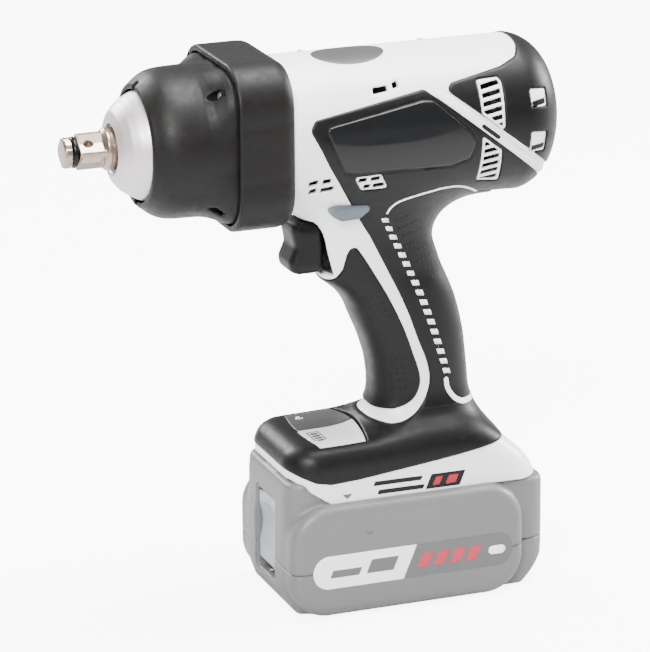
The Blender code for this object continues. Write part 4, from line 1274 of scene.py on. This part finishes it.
def make_pack():
    def upper(t, y, z):
        solid = shell_of(pack_scored(t, y, z), 2.4)
        solid = np.minimum(solid, np.maximum(tongue(t, y, z), PACK_TOP - 2 - z))
        return np.maximum(np.maximum(solid, PACK_SEAM - z), -latch_bay(t, y, z))

    def lower(t, y, z):
        solid = shell_of(pack_scored(t, y, z), 2.4)
        return np.maximum(np.maximum(solid, z - PACK_SEAM + 0.02), -latch_bay(t, y, z))
    ride(formed("pack_upper", upper, (95, -38.2, PACK_SEAM), (230, 38.2, 67), PACK_STEP, PACK), "battery",
         "pack_grey", "battery_case_upper")
    ride(formed("pack_lower", lower, (95, -38.2, 0.2), (230, 38.2, PACK_SEAM), PACK_STEP, PACK), "battery",
         "pack_grey", "battery_case_lower")

    def lining(t, y, z):
        mouth = box2(y, z - 33.4, 13.1, 21.5, 3)
        cup = np.maximum(mouth, np.maximum(96.5 - t, t - 109.8))
        return np.maximum(cup, -np.maximum(mouth + 1.2, t - 108.4))
    well = formed("latch_well", lining, (96, -13.5, 11), (110, 13.5, 56), 0.6, PACK)
    ride(well, "battery", "pack_grey")


def make_latch():
    """The release button: a hooked slab with a scooped finger face."""
    low, high = mm_box("release_button")

    def field(t, y, z):
        foot_z, head_z = 17.4, 51.6
        middle = (foot_z + head_z) / 2
        slab_form = box3(t, y, z, (low[0] + 3, 0, middle), (3, 12, (head_z - foot_z) / 2), 1)
        scoop = np.hypot(np.hypot(t - 90.4, (z - 36) * 0.60), y * 0.45) - 9.9
        hook = box3(t, y, z, (100.4, 0, 59), (2.6, 8, 7.6), 0.8)
        part = soft_max(slab_form, -scoop, 0.6)
        return np.minimum(part, hook)
    latch = formed("release_latch", field, (96, -13, 16.5), (104, 13, 67), 0.5, LATCH)
    ride(latch, "release_button", "latch_grey", "release_button")


def film(surface, area, proud, depth=0.5):
    def field(t, y, z):
        outer = surface(t, y, z)
        return np.maximum(np.maximum(outer - proud, area(t, z)), -outer - depth)
    return field


def stadium(t_low, t_high, z_low, z_high):
    middle_t, middle_z = (t_low + t_high) / 2, (z_low + z_high) / 2
    half_t, half_z = (t_high - t_low) / 2, (z_high - z_low) / 2
    return lambda t, z: box2(t - middle_t, z - middle_z, half_t, half_z, half_z - 0.05)


def leaning(t_low, t_high, z_low, z_high, lean=0.42):
    """A block whose ends lean, as in a slanted bar."""
    middle_z = (z_low + z_high) / 2
    middle_t, half_t = (t_low + t_high) / 2, (t_high - t_low) / 2
    half_z = (z_high - z_low) / 2
    return lambda t, z: box2(t - middle_t - lean * (z - middle_z), z - middle_z, half_t, half_z, 0.3)


def together(*areas):
    def least(t, z):
        found = areas[0](t, z)
        for one in areas[1:]:
            found = np.minimum(found, one(t, z))
        return found
    return least


def make_marks():
    """Plain bars and blocks where a tool like this carries its printing."""
    label = stadium(106, 208, 15.6, 32.4)
    divide = leaning(155.6, 260, 0, 48.4)

    def left_part(t, z):
        return np.maximum(label(t, z), 0.3 - divide(t, z))

    def right_part(t, z):
        return np.maximum(label(t, z), divide(t, z))
    pale_bars = together(leaning(115, 130, 21, 25), leaning(134, 148, 21, 28))
    red_bars = together(*[leaning(160 + 8.2 * i, 166 + 8.2 * i, 20, 27.4) for i in range(4)])
    pill = stadium(195.2, 204, 21.6, 26)
    ground = leaning(166.6, 184.4, 56.8, 64.4)
    red_blocks = together(leaning(169.4, 173.6, 58.2, 63), leaning(176, 181.8, 58.2, 63))
    bars = together(leaning(139, 163.6, 61.8, 64.2), leaning(141, 164.6, 57.4, 59.8))
    arrow_pack = outline([(131, 42.6), (137.6, 42.6), (134.3, 40.4)])
    arrow_foot = outline([(123, 59.8), (128.4, 59.8), (125.7, 57.4)])
    on_pack, on_foot = (pack, "battery"), (body, "root")
    marks = (
        ("label_pale", on_pack, left_part, 0.16, PALE_MARK, "pale_key", ((105, 14), (170, 34))),
        ("label_grey", on_pack, right_part, 0.12, GREY_MARK, "pack_grey", ((150, 14), (210, 34))),
        ("label_bars", on_pack, pale_bars, 0.3, GREY_MARK, "pack_grey", ((112, 18), (156, 30))),
        ("label_red", on_pack, red_bars, 0.27, PINK_MARK, "black_panel", ((156, 18), (196, 29))),
        ("label_pill", on_pack, pill, 0.27, PALE_MARK, "pale_key", ((194, 20), (206, 27))),
        ("pack_arrow", on_pack, arrow_pack, 0.2, GREY_MARK, "pack_grey", ((130, 39), (139, 44))),
        ("foot_arrow", on_foot, arrow_foot, 0.15, GREY_MARK, "pack_grey", ((121, 56), (130, 61))),
        ("badge_ground", on_foot, ground, 0.15, DARK_PRINT_AND_SHADE, "black_panel", ((162, 56), (188, 66))),
        ("badge_red", on_foot, red_blocks, 0.27, RED_MARK, "black_panel", ((166, 57), (185, 65))),
        ("badge_bars", on_foot, bars, 0.15, DARK_PRINT_AND_SHADE, "black_panel", ((136, 56), (168, 66))))
    for side, name in SIDES:
        for label_name, (surface, carrier), area, proud, finish, slot_name, box in marks:
            thin = film(surface, area, proud)

            def field(t, y, z, side=side, thin=thin):
                return np.maximum(thin(t, y, z), parted(y, side, 20))
            mark = formed(f"{label_name}_{name}", field, *reach(*box, side), 0.55, finish)
            ride(mark, carrier, slot_name)


# ---------------------------------------------------------------- what stays from the model

KEPT_FINISHES = {
    "anvil": NICKEL, "anvil_bush": BRONZE, "oil_seal": SEAL, "hammer": GEAR, "main_spring": STEEL,
    "spindle": STEEL, "cam_ball_1": STEEL, "cam_ball_2": STEEL, "planet_gear_1": GEAR,
    "planet_gear_2": GEAR, "planet_gear_3": GEAR, "ring_gear": GEAR, "gear_plate": ALLOY,
    "motor_can": GEAR, "field_magnet": IRON, "rotor_shaft": STEEL, "armature": COPPER,
    "commutator": COMMUTATOR, "front_bearing": STEEL, "rear_bearing": STEEL, "cooling_fan": INNER,
    "brush_holder": INNER, "brush_left": CARBON, "brush_right": CARBON, "switch_body": INNER,
    "trigger_spring": STEEL, "controller_board": CIRCUIT, "terminal_block": INNER,
    "cell_pack": SLEEVE, "battery_contacts": BRASS, "release_spring": STEEL,
    "case_screw_1": STEEL, "case_screw_2": STEEL, "case_screw_3": STEEL, "case_screw_4": STEEL,
}


def finish_kept():
    for name, finish in KEPT_FINISHES.items():
        held = NODES[name].material_slots
        if not held:
            NODES[name].data.materials.append(finish)
        for place in held:
            place.material = finish


# ---------------------------------------------------------------- stage


def look_from(azimuth, elevation, roll, distance, target):
    """Puts the camera round a target, looking at it."""
    a, e = radians(azimuth), radians(elevation)
    back = Vector((sin(a) * cos(e), -cos(a) * cos(e), sin(e)))
    turn = (-back).to_track_quat("-Z", "Y") @ Euler((0, 0, radians(roll))).to_quaternion()
    return Vector(target) + back * distance, turn


def make_camera():
    lens = bpy.data.cameras.new("camera")
    lens.lens = 219.6
    lens.sensor_width = 36
    lens.clip_end = 20
    camera = bpy.data.objects.new("camera", lens)
    camera.location, turn = look_from(-20.694, 17.734, -0.426, 1.8757, (0.0091, 0, 0.1332))
    camera.rotation_mode = "QUATERNION"
    camera.rotation_quaternion = turn
    bpy.context.scene.collection.objects.link(camera)
    bpy.context.scene.camera = camera


def soft_light(name, place, target, size, power):
    lamp = bpy.data.lights.new(name, "AREA")
    lamp.shape = "DISK"
    lamp.size = size
    lamp.energy = power
    obj = bpy.data.objects.new(name, lamp)
    obj.location = place
    obj.rotation_euler = (Vector(target) - Vector(place)).to_track_quat("-Z", "Y").to_euler()
    bpy.context.scene.collection.objects.link(obj)


def make_stage():
    floor_mesh = bpy.data.meshes.new("floor")
    reach_m = 14.0
    floor_mesh.from_pydata([(-reach_m, -reach_m, 0), (reach_m, -reach_m, 0), (reach_m, reach_m, 0),
                            (-reach_m, reach_m, 0)], [], [(0, 1, 2, 3)])
    floor = bpy.data.objects.new("floor", floor_mesh)
    bpy.context.scene.collection.objects.link(floor)
    # the floor looks white straight on, and throws only a little light back under the tool
    paint = Finish("pale_floor", (0.62, 0.62, 0.625), 0.9, Emission_Strength=7.0)
    paint.set("Emission Color", paint.node("ShaderNodeLightPath", {})[0])
    floor_mesh.materials.append(paint.material)
    world = bpy.data.worlds.new("studio")
    world.use_nodes = True
    world.node_tree.nodes["Background"].inputs["Color"].default_value = (1, 1, 1, 1)
    world.node_tree.nodes["Background"].inputs["Strength"].default_value = 0.48
    bpy.context.scene.world = world
    middle = (0.0, 0.0, 0.14)
    soft_light("key_light", (-1.0, -1.5, 1.5), middle, 0.8, 105)
    soft_light("top_light", (0.3, 0.0, 1.7), middle, 1.0, 85)
    soft_light("rim_light", (1.6, 0.2, 0.7), middle, 0.7, 60)
    soft_light("back_light", (-0.6, 1.6, 1.0), middle, 0.8, 50)


make_camera()
make_stage()
make_shell()
make_panels()
make_plates()
make_grips()
make_vents()
make_lines()
make_insert()
make_dashes()
make_pimples()
make_housing_screws()
make_nose()
make_boot()
make_collar()
make_anvil()
make_ring()
make_trigger()
make_lever()
make_keys()
make_key_pictures()
make_pack()
make_latch()
make_marks()
finish_kept()
